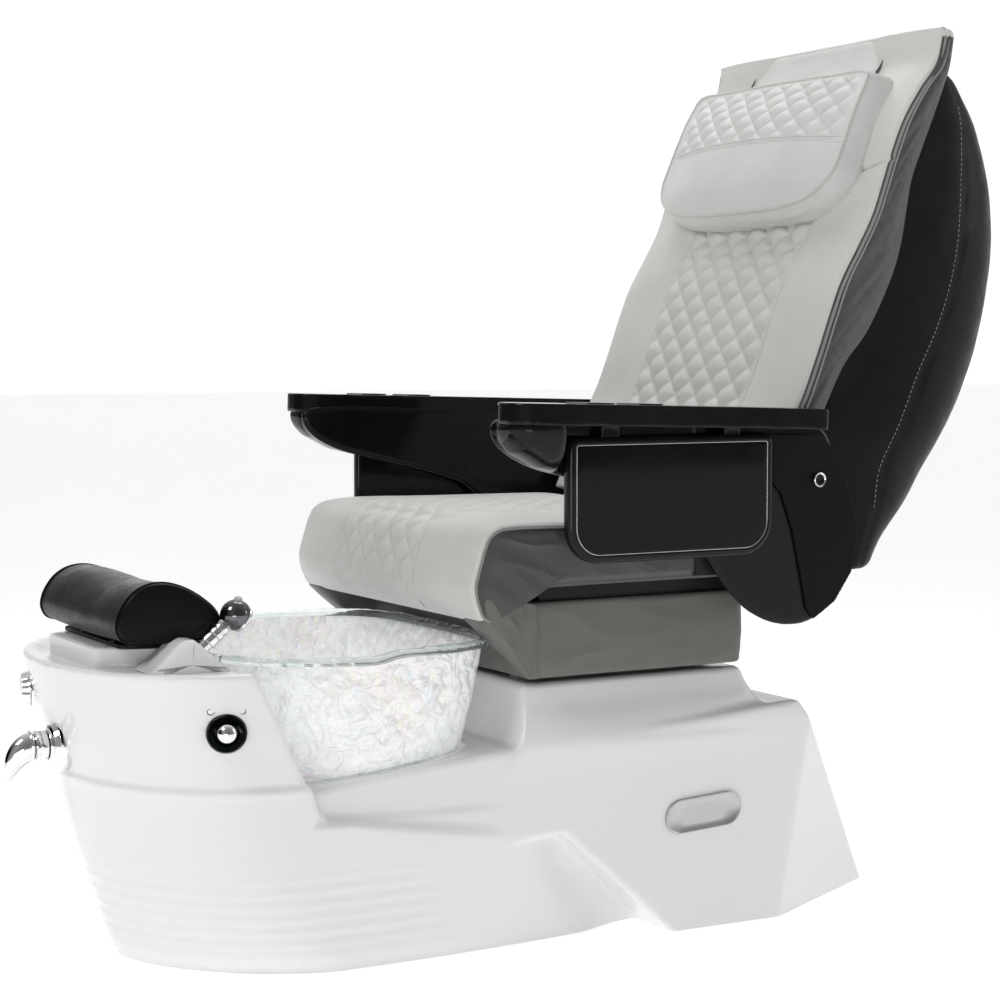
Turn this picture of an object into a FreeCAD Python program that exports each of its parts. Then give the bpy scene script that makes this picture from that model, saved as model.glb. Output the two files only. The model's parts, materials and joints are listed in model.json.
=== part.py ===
import FreeCAD, Part
import math
import os
import re
from FreeCAD import Placement, Rotation, Vector

# Pedicure spa chair. X is the sitter's left, Y runs from the basin (front, -Y) to the
# back of the chair (+Y), Z is up and the floor is z = 0. All sizes are in millimetres.

SIZES = {
    # moulded base
    "shell_wall": 8,
    "tub_top": 464,
    "pedestal_top": 405,
    "frame_tube": 30,
    "frame_half_width": 150,
    "foot_radius": 18,
    # basin
    "glass_wall": 9,
    "rim_height": 470,
    "basin_floor": 200,
    "drain_centre_y": -390,
    "drain_bore_radius": 22,
    "jet_centre_y": -285,
    "jet_radius": 40,
    # controls on the nose of the tub
    "drain_knob_x": 281,
    "drain_knob_y": -604,
    "drain_knob_z": 379,
    "faucet_y": -759,
    "faucet_z": 332,
    "diverter_x": -118,
    "diverter_y": -750,
    "diverter_z": 400,
    # foot rest
    "plinth_front_width": 108,
    "plinth_rear_width": 146,
    "plinth_front_y": -737,
    "plinth_rear_y": -585,
    "plinth_top": 486,
    "post_radius": 12,
    "post_clearance": 0.05,
    "post_length": 170,
    "footrest_half_width": 178,
    # hand sprayer
    "sprayer_x": 190,
    "sprayer_tilt": 38,
    # seat
    "rail_length": 340,
    "rail_spacing": 170,
    "skirt_half_width": 268,
    "skirt_front_y": -102,
    "skirt_length": 404,
    "skirt_bottom": 418,
    "skirt_height": 126,
    "skirt_wall": 12,
    "seat_half_width": 315,
    # back
    "recline_y": 365,
    "recline_z": 600,
    "recline_pin_radius": 10,
    "pin_clearance": 0.05,
    "back_half_width": 300,
    "cushion_half_width": 318,
    "pillow_half_width": 258,
    "massage_rail_radius": 7,
    "massage_rail_spacing": 110,
    # arms
    "arm_inner_x": 324,
    "arm_wall": 17,
    "arm_top_inner_x": 330,
    "arm_top_outer_x": 426,
    "arm_pivot_y": 390,
    "arm_pivot_z": 714,
    "arm_pin_radius": 12,
    "tray_axis_x": 364,
    "tray_axis_z": 781,
    "tray_thickness": 24,
    "tray_front_y": -92,
    "tray_length": 376,
    "tray_top": 793,
    "tray_height": 193,
}

doc = FreeCAD.newDocument("PedicureSpaChair")
sheet = doc.addObject("Spreadsheet::Sheet", "Sizes")
for row, (alias, value) in enumerate(SIZES.items(), start=1):
    sheet.set(f"A{row}", alias)
    sheet.set(f"B{row}", str(value))
    sheet.setAlias(f"B{row}", alias)
doc.recompute()

subparts = []


# ---------------------------------------------------------------- helpers

def size(alias):
    """The value of a driving dimension."""
    return float(sheet.get(alias))


def bind(item, **expressions):
    """Bind properties to expressions, in which a driving dimension is its bare name."""
    for name, expression in expressions.items():
        path = name.replace("__", ".")
        text = re.sub(r"[a-z_]{3,}", lambda word: qualify(word.group()), str(expression))
        item.setExpression(path, text)
    return item


def qualify(word):
    return f"Sizes.{word}" if word in SIZES else word


def keep(item, label):
    """Name an object as a sub-part that is exported."""
    item.Label = label
    subparts.append(item)
    return item


def object_name(label, suffix):
    return f"{label}_{suffix}"


def box(label, length, width, height, corner):
    """A Part::Box from three sizes and its low corner, each an expression."""
    item = doc.addObject("Part::Box", label)
    bind(item, Length=length, Width=width, Height=height)
    bind(item, Placement__Base__x=corner[0], Placement__Base__y=corner[1])
    return bind(item, Placement__Base__z=corner[2])


def cylinder(label, radius, height, base, axis=(0, 0, 1)):
    """A Part::Cylinder from expressions for its sizes and base centre, along axis."""
    item = doc.addObject("Part::Cylinder", label)
    item.Placement.Rotation = Rotation(Vector(0, 0, 1), Vector(*axis))
    bind(item, Radius=radius, Height=height)
    bind(item, Placement__Base__x=base[0], Placement__Base__y=base[1])
    return bind(item, Placement__Base__z=base[2])


def fuse(label, *items):
    joined = doc.addObject("Part::MultiFuse", label)
    joined.Shapes = list(items)
    return joined


def cut(label, base, tool):
    result = doc.addObject("Part::Cut", label)
    result.Base = base
    result.Tool = tool
    return result


def group(label, items):
    """Separate identical solids that share one sub-part."""
    bundle = doc.addObject("Part::Compound", label)
    bundle.Links = list(items)
    return bundle


def feature(label, shape):
    """A Part::Feature that holds a shape made with Part's own functions."""
    item = doc.addObject("Part::Feature", label)
    item.Shape = shape
    return item


def new_sketch(body, name, plane_role):
    sketch = body.newObject("Sketcher::SketchObject", name)
    plane = [item for item in body.Origin.OriginFeatures if item.Role == plane_role][0]
    sketch.AttachmentSupport = [(plane, "")]
    sketch.MapMode = "FlatFace"
    return sketch


def add_outline(sketch, points, radii=None):
    """Closed polygon in a sketch, with each corner rounded by its radius."""
    for edge in rounded_edges([Vector(a, b, 0) for a, b in points], radii):
        sketch.addGeometry(edge, False)


def rounded_edges(points, radii=None):
    """Lines and tangent arcs along a closed polygon whose corners have radii."""
    count = len(points)
    if radii is None:
        radii = [0] * count
    ends = []
    for index, corner in enumerate(points):
        before = points[index - 1] - corner
        after = points[(index + 1) % count] - corner
        radius = radii[index]
        if radius == 0:
            ends.append((corner, None, corner))
            continue
        before.normalize()
        after.normalize()
        half = before.getAngle(after) / 2
        trim = radius / math.tan(half)
        bisector = (before + after).normalize()
        centre = corner + bisector * (radius / math.sin(half))
        middle = centre - bisector * radius
        ends.append((corner + before * trim, middle, corner + after * trim))
    edges = []
    for index in range(count):
        start, middle, finish = ends[index]
        if middle is not None:
            edges.append(Part.Arc(start, middle, finish))
        following = ends[(index + 1) % count][0]
        if (following - finish).Length > 1e-6:
            edges.append(Part.LineSegment(finish, following))
    return edges


def pad(label, plane_role, outline, length, radii=None, offset=None, symmetric=False):
    """A PartDesign body: one sketched outline, padded by an expression's length."""
    body = doc.addObject("PartDesign::Body", label)
    sketch = new_sketch(body, object_name(label, "sketch"), plane_role)
    add_outline(sketch, outline, radii)
    solid = body.newObject("PartDesign::Pad", object_name(label, "pad"))
    solid.Profile = sketch
    bind(solid, Length=length)
    if symmetric:
        solid.SideType = "Symmetric"
    if offset is not None:
        axis = {"YZ_Plane": "x", "XZ_Plane": "y", "XY_Plane": "z"}[plane_role]
        bind(body, **{f"Placement__Base__{axis}": offset})
    return body


def turned(label, profile, centre, axis=(0, 0, 1)):
    """A PartDesign body revolved about its own Z: profile holds (radius, height)."""
    body = doc.addObject("PartDesign::Body", label)
    sketch = new_sketch(body, object_name(label, "sketch"), "XZ_Plane")
    add_outline(sketch, profile)
    solid = body.newObject("PartDesign::Revolution", object_name(label, "turn"))
    solid.Profile = sketch
    solid.ReferenceAxis = (sketch, ["V_Axis"])
    solid.Angle = 360
    body.Placement.Rotation = Rotation(Vector(0, 0, 1), Vector(*axis))
    bind(body, Placement__Base__x=centre[0], Placement__Base__y=centre[1])
    return bind(body, Placement__Base__z=centre[2])


def polygon_prism(points, low_x, high_x):
    """Solid whose side outline holds (y, z) points, from low_x to high_x."""
    wire = Part.makePolygon([Vector(low_x, y, z) for y, z in points + points[:1]])
    return Part.Face(wire).extrude(Vector(high_x - low_x, 0, 0))


def smooth_prism(points, low_x, high_x):
    """As polygon_prism, with one closed smooth curve through the points."""
    curve = Part.BSplineCurve()
    curve.interpolate(Points=[Vector(low_x, y, z) for y, z in points], PeriodicFlag=True)
    wire = Part.Wire([curve.toShape()])
    return Part.Face(wire).extrude(Vector(high_x - low_x, 0, 0))


def trim(solid, point, normal):
    """Cut away everything that lies on the normal's side of a plane."""
    reach = 3000
    slab = Part.makeBox(reach, reach, reach, Vector(-reach / 2, -reach / 2, 0))
    slab.Placement = Placement(Vector(*point), Rotation(Vector(0, 0, 1), Vector(*normal)))
    return solid.cut(slab)


def mirror_x(shape):
    return shape.mirror(Vector(0, 0, 0), Vector(1, 0, 0))


def tube(length, outer, wall, start, direction):
    """Square steel tube along a direction."""
    outside = Part.makeBox(outer, outer, length, Vector(-outer / 2, -outer / 2, 0))
    inside = Part.makeBox(outer - 2 * wall, outer - 2 * wall, length,
                          Vector(wall - outer / 2, wall - outer / 2, 0))
    hollow = outside.cut(inside)
    hollow.Placement = Placement(Vector(*start), Rotation(Vector(0, 0, 1), Vector(*direction)))
    return hollow


# ---------------------------------------------------------------- moulded base

# Outline of the tub's nose at four heights: height, half width, depth of the rounded
# front, y of its centre, half width at the flank's rear end.
NOSE_LEVELS = [
    (0, 242, 204, -461, 213),
    (183, 270, 232, -483, 284),
    (296, 287, 250, -496, 290),
    (SIZES["tub_top"], 313, 260, -532, 300),
]
FLANK_END_Y = 25
FLANK_END_SLOPE = -0.787

# Sub-parts that are let into the moulding.
WALL_FITTINGS = ("side_badges", "drain_knob_ring", "drain_label_plate", "faucet_escutcheon",
                 "diverter_valve", "rear_access_panel")

# Directions in which the diverter and the drain knob point out of the tub's wall.
DIVERTER_AXIS = (-0.25, -1, 0)
KNOB_AXIS = (math.cos(math.radians(20)), -math.sin(math.radians(20)), 0.12)

# Side outline (y, z) of the deck and pedestal block, from the front of the deck.
DECK_LINE = [(-466, 278), (-385, 289), (-250, 304), (-56, 321), (194, 337), (392, 352)]
REAR_CORNER = (412, 324)
REAR_FOOT_Y = 652
PANEL_FOOT_Y = 143
CREASE_TOP = (-48, 175)
LEDGE = [(-451, 238), (-119, 183)]
NOSE_TOP_REAR = (-567, 461)

# Plan outline (x, y) of the deck block's right half.
DECK_PLAN = [(280, -470), (300, 140), (308, 347), (150, 652)]


def nose_section(level, inset, base_drop):
    """Closed wire of the nose at one height: a half ellipse and straight flanks."""
    height, half_width, depth, centre_y, rear_half_width = level
    z = height - inset if height > 0 else -base_drop
    wide = half_width - inset
    rear_y = FLANK_END_Y + FLANK_END_SLOPE * height - inset
    rear = rear_half_width - inset
    ellipse = Part.Ellipse(Vector(0, centre_y, z), wide, depth - inset)
    front = Part.Arc(ellipse, math.pi, 2 * math.pi)
    corners = [Vector(wide, centre_y, z), Vector(rear, rear_y, z),
               Vector(-rear, rear_y, z), Vector(-wide, centre_y, z)]
    edges = [front.toShape()]
    edges += [Part.LineSegment(a, b).toShape() for a, b in zip(corners, corners[1:])]
    return Part.Wire(edges)


def nose_block(inset, base_drop=0):
    """The rounded front of the tub, cut down diagonally to the long flank's ledge."""
    block = Part.makeLoft([nose_section(level, inset, base_drop) for level in NOSE_LEVELS],
                          True, True)
    (front_y, front_z), (rear_y, rear_z) = LEDGE
    slope = (rear_z - front_z) / (rear_y - front_y)
    top_y, top_z = NOSE_TOP_REAR
    drop = inset
    beyond = 300
    above = [(front_y - drop, front_z - drop), (top_y - drop, top_z - drop),
             (top_y - drop - 60, top_z + 120), (beyond, top_z + 120),
             (beyond, front_z - drop + slope * (beyond - front_y))]
    return block.cut(polygon_prism(above, -400, 400))


def deck_block(inset, base_drop=0):
    """The deck, its side panels and the sloping rear of the base."""
    top = [(y, z - inset) for y, z in DECK_LINE]
    corner_y, corner_z = REAR_CORNER
    crease_y, crease_z = CREASE_TOP
    low_z = -base_drop
    outline = top + [(corner_y - inset, corner_z), (REAR_FOOT_Y - 1.6 * inset, low_z),
                     (PANEL_FOOT_Y + 1.6 * inset, low_z),
                     (crease_y + 1.6 * inset, crease_z), (-440, 150 + inset)]
    side = polygon_prism(outline, -400, 400)
    half = [(x - inset, y) for x, y in DECK_PLAN]
    plan = half + [(-x, y) for x, y in reversed(half)]
    wire = Part.makePolygon([Vector(x, y, -50) for x, y in plan + plan[:1]])
    return side.common(Part.Face(wire).extrude(Vector(0, 0, 600)))


def waist_block(inset, base_drop=0):
    """The recessed facet between the long flank and the side panel."""
    outline = [(-160, 240), (0, 240), (170, -base_drop), (-60, -base_drop)]
    return polygon_prism(outline, inset - 206, 206 - inset)


def rectangle(half_width, front_y, rear_y, z):
    corners = [(-half_width, front_y), (half_width, front_y),
               (half_width, rear_y), (-half_width, rear_y)]
    return Part.makePolygon([Vector(x, y, z) for x, y in corners + corners[:1]])


def pedestal(inset):
    """The raised seat stand on the deck."""
    top = size("pedestal_top")
    foot = rectangle(285 - inset, -128 + inset, 400 - inset, 290)
    head = rectangle(252 - inset, -97 + inset, 300 - inset, top - inset)
    return Part.makeLoft([foot, head], True, True)


def basin_outline(z, half_width, front_y, rear_y, taper=0.8):
    """Closed smooth outline of the basin, narrower towards its front."""
    points = []
    steps = 20
    exponent = 2 / 4.6
    middle = (front_y + rear_y) / 2
    half_length = (rear_y - front_y) / 2
    for step in range(steps):
        angle = 2 * math.pi * step / steps
        across = math.copysign(abs(math.cos(angle)) ** exponent, math.cos(angle))
        along = math.copysign(abs(math.sin(angle)) ** exponent, math.sin(angle))
        narrowing = taper + (1 - taper) * (along + 1) / 2
        points.append(Vector(half_width * across * narrowing, middle + half_length * along, z))
    curve = Part.BSplineCurve()
    curve.interpolate(Points=points, PeriodicFlag=True)
    return Part.Wire([curve.toShape()])


def basin_solid(grow, bottom_z, top_z):
    """The basin's outer form, grown sideways, between two heights."""
    rim = size("rim_height")
    levels = [(bottom_z, 190, -480, -220), (290, 250, -520, -165), (rim, 262, -555, -118)]
    if top_z > rim:
        levels.append((top_z, 262, -555, -118))
    wires = [basin_outline(z, half_width + grow, front_y - grow, rear_y + grow)
             for z, half_width, front_y, rear_y in levels]
    return Part.makeLoft(wires, True, True)


def make_base_shell(fittings):
    """The one-piece moulding, with an opening for the basin and seats for its fittings."""
    wall = size("shell_wall")
    outer = nose_block(0).fuse([deck_block(0), waist_block(0), pedestal(0)])
    inner = nose_block(wall, 1).fuse([deck_block(wall, 1), waist_block(wall, 1), pedestal(wall)])
    floor = size("basin_floor")
    well = basin_solid(2, floor - 6, size("rim_height") + 60)
    shell = outer.cut(inner).cut(well)
    post_hole = Part.makeCylinder(size("post_radius") + 6, 90, Vector(0, -662, 420))
    knob_centre = Vector(size("drain_knob_x"), size("drain_knob_y"), size("drain_knob_z"))
    knob_axis = Vector(*KNOB_AXIS)
    knob_hole = Part.makeCylinder(8, 40, knob_centre - knob_axis * 30, knob_axis)
    faucet_hole = Part.makeCylinder(20, 80, Vector(0, -700, 332), Vector(0, -1, 0))
    diverter_centre = Vector(size("diverter_x"), size("diverter_y"), size("diverter_z"))
    diverter_axis = Vector(*DIVERTER_AXIS).normalize()
    diverter_hole = Part.makeCylinder(14, 60, diverter_centre - diverter_axis * 50, diverter_axis)
    diverter_room = Part.makeCylinder(27, 60, diverter_centre + diverter_axis * 2, diverter_axis)
    rear_window = Part.makeBox(150, 200, 120, Vector(-75, 480, 60))
    shell = shell.cut([post_hole, knob_hole, faucet_hole, diverter_hole, diverter_room, rear_window])
    shell = shell.cut([item.Shape for item in fittings])
    return keep(feature("base_shell_part", shell.removeSplitter()), "base_shell")


def make_base_frame():
    """Welded steel frame that stands on the floor inside the shell."""
    outer = size("frame_tube")
    half = size("frame_half_width")
    low = outer / 2
    rails = [tube(1000, outer, 2, (side * half, -480, low), (0, 1, 0)) for side in (-1, 1)]
    cross = [tube(2 * half - outer, outer, 2, (-half + outer / 2, y, low), (1, 0, 0))
             for y in (-440, 0, 480)]
    posts = [tube(size("pedestal_top") - size("shell_wall") - outer, outer, 2,
                  (side * half, y, outer), (0, 0, 1))
             for side in (-1, 1) for y in (-40, 240)]
    lugs = [Part.makeBox(60, 36, 6, Vector(x, y, 6))
            for x, y in ((-208, -318), (148, -318), (-208, 282), (148, 282))]
    frame = rails[0].fuse(rails[1:] + cross + posts + lugs)
    return keep(feature("base_frame_part", frame), "base_frame")


def make_badge():
    """Plain oval plate on each side panel."""
    plates = []
    for side in (-1, 1):
        edges = rounded_edges([Vector(side * 303.5, 130, 158), Vector(side * 303.5, 272, 158),
                               Vector(side * 303.5, 272, 214), Vector(side * 303.5, 130, 214)],
                              [27.9] * 4)
        wire = Part.Wire([edge.toShape() for edge in edges])
        plates.append(Part.Face(wire).extrude(Vector(side * 7, 0, 0)))
    return keep(feature("badge_part", Part.makeCompound(plates)), "side_badges")


def make_access_panel():
    """Service panel on the sloping rear face."""
    slope = math.degrees(math.atan2(REAR_FOOT_Y - REAR_CORNER[0], REAR_CORNER[1]))
    centre_z = 45
    centre_y = REAR_FOOT_Y - centre_z * math.tan(math.radians(slope))
    frame = Placement(Vector(-95, centre_y + 0.6, centre_z), Rotation(Vector(1, 0, 0), slope))
    item = feature("access_panel_part", Part.makeBox(190, 3, 170))
    item.Placement = frame
    return keep(item, "rear_access_panel")


def make_base_group():
    make_base_frame()
    make_badge()
    make_access_panel()
    control = box("control_box_part", 110, 90, 60, (-135, 270, 32))
    keep(control, "control_box")
    feet = [cylinder(f"foot_{index}", "foot_radius", 6, (x, y, 0))
            for index, (x, y) in enumerate([(-190, -300), (190, -300), (-190, 300), (190, 300)])]
    keep(group("feet_part", feet), "levelling_feet")


# ---------------------------------------------------------------- basin and plumbing

def make_glass_bowl():
    wall = size("glass_wall")
    floor = size("basin_floor")
    rim = size("rim_height")
    outer = basin_solid(0, floor, rim)
    inner = basin_solid(-wall, floor + wall, rim + 1)
    bead_low = basin_outline(rim - 16, 262 + 7, -555 - 5, -118 + 5)
    bead_high = basin_outline(rim, 262 + 8, -555 - 6, -118 + 6)
    bead = Part.makeLoft([bead_low, bead_high], True, True)
    bowl = outer.fuse(bead).cut(inner)
    drain = Part.makeCylinder(size("drain_bore_radius"), 40, Vector(0, size("drain_centre_y"), floor - 10))
    return keep(feature("glass_bowl_part", bowl.cut(drain)), "glass_bowl")


def make_drain():
    top = size("basin_floor") + size("glass_wall")
    flange = [(17, -60), (21.8, -60), (21.8, 0.2), (32, 0.2), (31, 3), (17, 3)]
    keep(turned("drain_flange_part", flange, (0, "drain_centre_y", top)), "drain_flange")
    cap = [(0, 4), (20, 4), (20, 6), (14, 8), (0, 9)]
    guide = [(0, -30), (4, -30), (4, 4.5), (0, 4.5)]
    stopper = fuse("stopper_part", turned("stopper_cap", cap, (0, "drain_centre_y", top)),
                   turned("stopper_stem", guide, (0, "drain_centre_y", top)))
    keep(stopper, "drain_stopper")
    drain_y = size("drain_centre_y")
    tail = Part.makeCylinder(25, 57, Vector(0, drain_y, top - 80))
    tail = tail.cut(Part.makeCylinder(22, 44, Vector(0, drain_y, top - 64)))
    tail = tail.cut(Part.makeCylinder(15, 60, Vector(0, drain_y, top - 80)))
    run = Part.makeCylinder(18, 700, Vector(0, drain_y + 20, 70), Vector(0, 1, 0))
    run = run.cut(Part.makeCylinder(15, 700, Vector(0, drain_y + 20, 70), Vector(0, 1, 0)))
    down = Part.makeCylinder(18, top - 80 - 52, Vector(0, drain_y, 52))
    down = down.cut(Part.makeCylinder(15, top - 80 - 56, Vector(0, drain_y, 56)))
    side_hole = Part.makeCylinder(15, 30, Vector(0, drain_y, 70), Vector(0, 1, 0))
    pipe = down.cut(side_hole).fuse(run.cut(Part.makeCylinder(15, top, Vector(0, drain_y, 56))))
    keep(feature("drain_pipe_part", pipe.fuse(tail)), "drain_pipe")


def make_jet():
    """Pump head under a grille on the basin floor, driven from below."""
    floor = size("basin_floor") + size("glass_wall")
    centre_y = size("jet_centre_y")
    radius = size("jet_radius")
    cover = Part.makeCylinder(radius, 22, Vector(0, centre_y, floor))
    cover = cover.cut(Part.makeCylinder(radius - 4, 18, Vector(0, centre_y, floor)))
    cover = cover.fuse(Part.makeCylinder(3, 18, Vector(0, centre_y, floor + 0.5)))
    slots = []
    for step in range(8):
        slot = Part.makeBox(22, 4, 10, Vector(9, -2, floor + 14))
        slot.rotate(Vector(0, 0, 0), Vector(0, 0, 1), 45 * step)
        slot.translate(Vector(0, centre_y, 0))
        slots.append(slot)
    for step in range(8):
        port = Part.makeBox(12, 12, 10, Vector(30, -6, floor + 4))
        port.rotate(Vector(0, 0, 0), Vector(0, 0, 1), 45 * step)
        port.translate(Vector(0, centre_y, 0))
        slots.append(port)
    keep(feature("jet_cover_part", cover.cut(slots)), "jet_cover")
    hub = Part.makeCylinder(9, 12, Vector(0, 0, 0)).fuse(Part.makeCylinder(32, 2))
    blades = []
    for step in range(6):
        blade = Part.makeBox(24, 2, 10, Vector(7, -1, 1))
        blade.rotate(Vector(0, 0, 0), Vector(0, 0, 1), 60 * step)
        blades.append(blade)
    impeller = hub.fuse(blades).cut(Part.makeCylinder(3.05, 20, Vector(0, 0, -4)))
    item = feature("jet_impeller_part", impeller)
    item.Placement = Placement(Vector(0, centre_y, floor + 2), Rotation())
    keep(item, "jet_impeller")
    motor = [(0, 0), (34, 0), (38, 6), (38, 52), (12, 56), (12, 60), (0, 60)]
    keep(turned("jet_motor_part", motor, (0, "jet_centre_y", "basin_floor - 6 - 8 - 60")), "jet_motor")


def knob_profile():
    """Chrome ball on a dished ring: (radius, height) from the wall outwards."""
    return [(0, -22), (5, -22), (5, 6), (13, 8), (16, 13), (13, 20), (7, 24), (0, 25)]


def make_nose_controls():
    knob_centre = ("drain_knob_x", "drain_knob_y", "drain_knob_z")
    ring = [(5.05, -2), (14, -2), (27, -2), (29, 2), (27, 7), (19, 6), (15, 3), (5.05, 3)]
    keep(turned("drain_ring_part", ring, knob_centre, KNOB_AXIS), "drain_knob_ring")
    keep(turned("drain_knob_part", knob_profile(), knob_centre, KNOB_AXIS), "drain_knob")
    label = cylinder("drain_label_part", 40, 1.2, ("drain_knob_x - 1", "drain_knob_y", "drain_knob_z"),
                     KNOB_AXIS)
    inner = cylinder("drain_label_inner", 31, 4, ("drain_knob_x - 2", "drain_knob_y", "drain_knob_z"),
                     KNOB_AXIS)
    lower = box("drain_label_lower", 80, 120, 70, ("drain_knob_x - 40", "drain_knob_y - 60",
                                                   "drain_knob_z - 55"))
    ring_plate = cut("drain_label_ring", label, inner)
    keep(cut("drain_label_arc", ring_plate, lower), "drain_label_plate")

    front = (0, -1, 0)
    plate = [(16.05, -3), (34, -3), (33, 3), (27, 8), (22, 14), (16.05, 14)]
    keep(turned("faucet_plate_part", plate, (0, "faucet_y", "faucet_z"), front), "faucet_escutcheon")
    body = [(0, -70), (22, -70), (22, -26), (15, -24), (15, -6), (0, -6)]
    keep(turned("mixer_body_part", body, (0, "faucet_y", "faucet_z"), front), "mixer_valve_body")
    cap = [(0, -5.8), (16, -5.8), (16, 16), (20, 17), (21, 26), (18, 34), (0, 36)]
    keep(turned("faucet_cap_part", cap, (0, "faucet_y", "faucet_z"), front), "faucet_cap")
    lever = [(-796.5, 354), (-806, 350), (-822, 330), (-836, 300), (-842, 280), (-837, 276),
             (-826, 296), (-812, 314), (-797, 320)]
    lever_shape = Part.Face(Part.makePolygon(
        [Vector(-11, y, z) for y, z in lever + lever[:1]])).extrude(Vector(22, 0, 0))
    lever_pin = Part.makeCylinder(3, 22, Vector(-11, -798, 352), Vector(1, 0, 0))
    keep(feature("faucet_lever_part", lever_shape.fuse(lever_pin)), "faucet_lever")

    diverter_centre = ("diverter_x", "diverter_y", "diverter_z")
    handle = [(0, -20), (10, -20), (10, 5), (22, 5), (23, 9), (22, 19), (18, 22), (0, 22)]
    keep(turned("diverter_knob_part", handle, diverter_centre, DIVERTER_AXIS), "diverter_knob")
    valve = [(0, -66), (20, -66), (20, -30), (13, -26), (13, -6), (30, -6), (29, 1), (24, 4), (10.05, 4),
             (10.05, -20.5), (0, -20.5)]
    keep(turned("diverter_valve_part", valve, diverter_centre, DIVERTER_AXIS), "diverter_valve")


# ---------------------------------------------------------------- foot rest and sprayer

def make_footrest():
    front_x = size("plinth_front_width")
    rear_x = size("plinth_rear_width")
    front_y = size("plinth_front_y")
    rear_y = size("plinth_rear_y")
    widest_y = -640
    hole = cylinder("plinth_bore", "post_radius + post_clearance", 260, (0, -662, 300))
    block = pad("plinth_block", "XY_Plane",
                [(-front_x, front_y), (front_x, front_y), (rear_x, widest_y), (rear_x, rear_y),
                 (-rear_x, rear_y), (-rear_x, widest_y)], "plinth_top - tub_top",
                radii=[16, 16, 20, 12, 12, 20], offset="tub_top")
    sleeve = cylinder("plinth_sleeve", "post_radius + 5", 150, (0, -662, 322))
    keep(cut("plinth_part", fuse("plinth_whole", block, sleeve), hole), "footrest_plinth")
    keep(cylinder("post_part", "post_radius", "post_length", (0, -662, "plinth_top + 2 - post_length")),
         "footrest_post")
    keep(pad("footrest_plate_part", "XY_Plane", [(-140, -706), (140, -706), (140, -600), (-140, -600)], 5,
             radii=[24] * 4, offset="plinth_top + 2"), "footrest_plate")
    saddle = [(-716, 499), (-727, 525), (-716, 555), (-690, 580), (-652, 586), (-612, 572),
              (-575, 543), (-576, 512), (-620, 496)]
    wires = []
    half = size("footrest_half_width")
    for share, scale in ((-1, 0.96), (-0.6, 1.01), (0, 0.98), (0.6, 1.01), (1, 0.96)):
        points = [Vector(share * half, -650 + (y + 650) * scale, 494 + (z - 493.5) * scale)
                  for y, z in saddle]
        curve = Part.BSplineCurve()
        curve.interpolate(Points=points, PeriodicFlag=True)
        wires.append(Part.Wire([curve.toShape()]))
    cushion = trim(Part.makeLoft(wires, True, False), (0, 0, 493.2), (0, 0, -1))
    keep(feature("footrest_pad_part", cushion), "footrest_pad")


def make_sprayer():
    """Chrome hand sprayer that pulls out of a socket on the tub's rim."""
    tilt = math.radians(size("sprayer_tilt"))
    direction = Vector(0, math.cos(tilt), math.sin(tilt))
    x = size("sprayer_x")
    low = size("tub_top")
    boss = polygon_prism([(-688, low), (-640, 502), (-620, 502), (-571, low)], x - 36, x + 28)
    under_pad = Part.makeBox(60, 140, 40, Vector(size("footrest_half_width") - 56, -700, 490.5))
    boss = boss.cut(under_pad)
    foot = Vector(x, -604, 490)
    socket = Part.makeCylinder(9.05, 200, foot - direction * 34, direction)
    keep(feature("sprayer_boss_part", boss.cut(socket)), "sprayer_boss")
    stem = Part.makeCylinder(9, 58, foot - direction * 24, direction)
    grip = Part.makeCylinder(11.5, 22, foot + direction * 18, direction)
    keep(feature("sprayer_handle_part", stem.fuse(grip)), "sprayer_handle")
    head_start = foot + direction * 40.2
    head = Part.makeSphere(21).fuse(Part.makeCylinder(12, 18, -direction * 18.5 * 1.6, direction))
    head = trim(head, (0, 14, -9), (0, 0.84, -0.54))
    head.translate(head_start + direction * 29.8)
    keep(feature("sprayer_head_part", head), "sprayer_head")


# ---------------------------------------------------------------- seat

def make_seat():
    rails = []
    top = "pedestal_top"
    for name, sign in (("right", "-1"), ("left", "1")):
        corner = (f"{sign} * rail_spacing - 12", -70, f"{top} + 0.5")
        rails.append(box(f"rail_{name}", 24, "rail_length", 10, corner))
    keep(group("slide_rails_part", rails), "slide_rails")
    housing = box("slide_motor_housing", 60, 70, 20, (-30, 216, f"{top} + 1"))
    barrel = cylinder("slide_motor_barrel", 9.5, 150, (0, 70, f"{top} + 11"), (0, 1, 0))
    bore = cylinder("slide_motor_bore", 5.05, 148, (0, 60, f"{top} + 11"), (0, 1, 0))
    keep(cut("slide_motor_part", fuse("slide_motor_whole", housing, barrel), bore), "slide_actuator")
    rod = cylinder("slide_rod_bar", 5, 125, (0, -37, f"{top} + 11"), (0, 1, 0))
    clevis = box("slide_rod_clevis", 30, 14, 44, (-15, -50, f"{top} + 1"))
    keep(fuse("slide_rod_part", rod, clevis), "slide_actuator_rod")
    make_seat_frame()
    make_skirt()
    pan = [(-120, 545.5), (268, 545.5), (268, 558), (-120, 558)]
    keep(pad("seat_pan_part", "YZ_Plane", pan, 560, symmetric=True), "seat_pan")
    cushion = [(-192, 512), (-222, 524), (-229, 562), (-222, 610), (-205, 643), (-170, 661),
               (268, 661), (268, 558.6), (-128, 558.6), (-172, 540)]
    keep(pad("seat_cushion_part", "YZ_Plane", cushion, "2 * seat_half_width",
             radii=[8, 12, 40, 20, 24, 22, 14, 4, 8, 8], symmetric=True), "seat_cushion")


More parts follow.
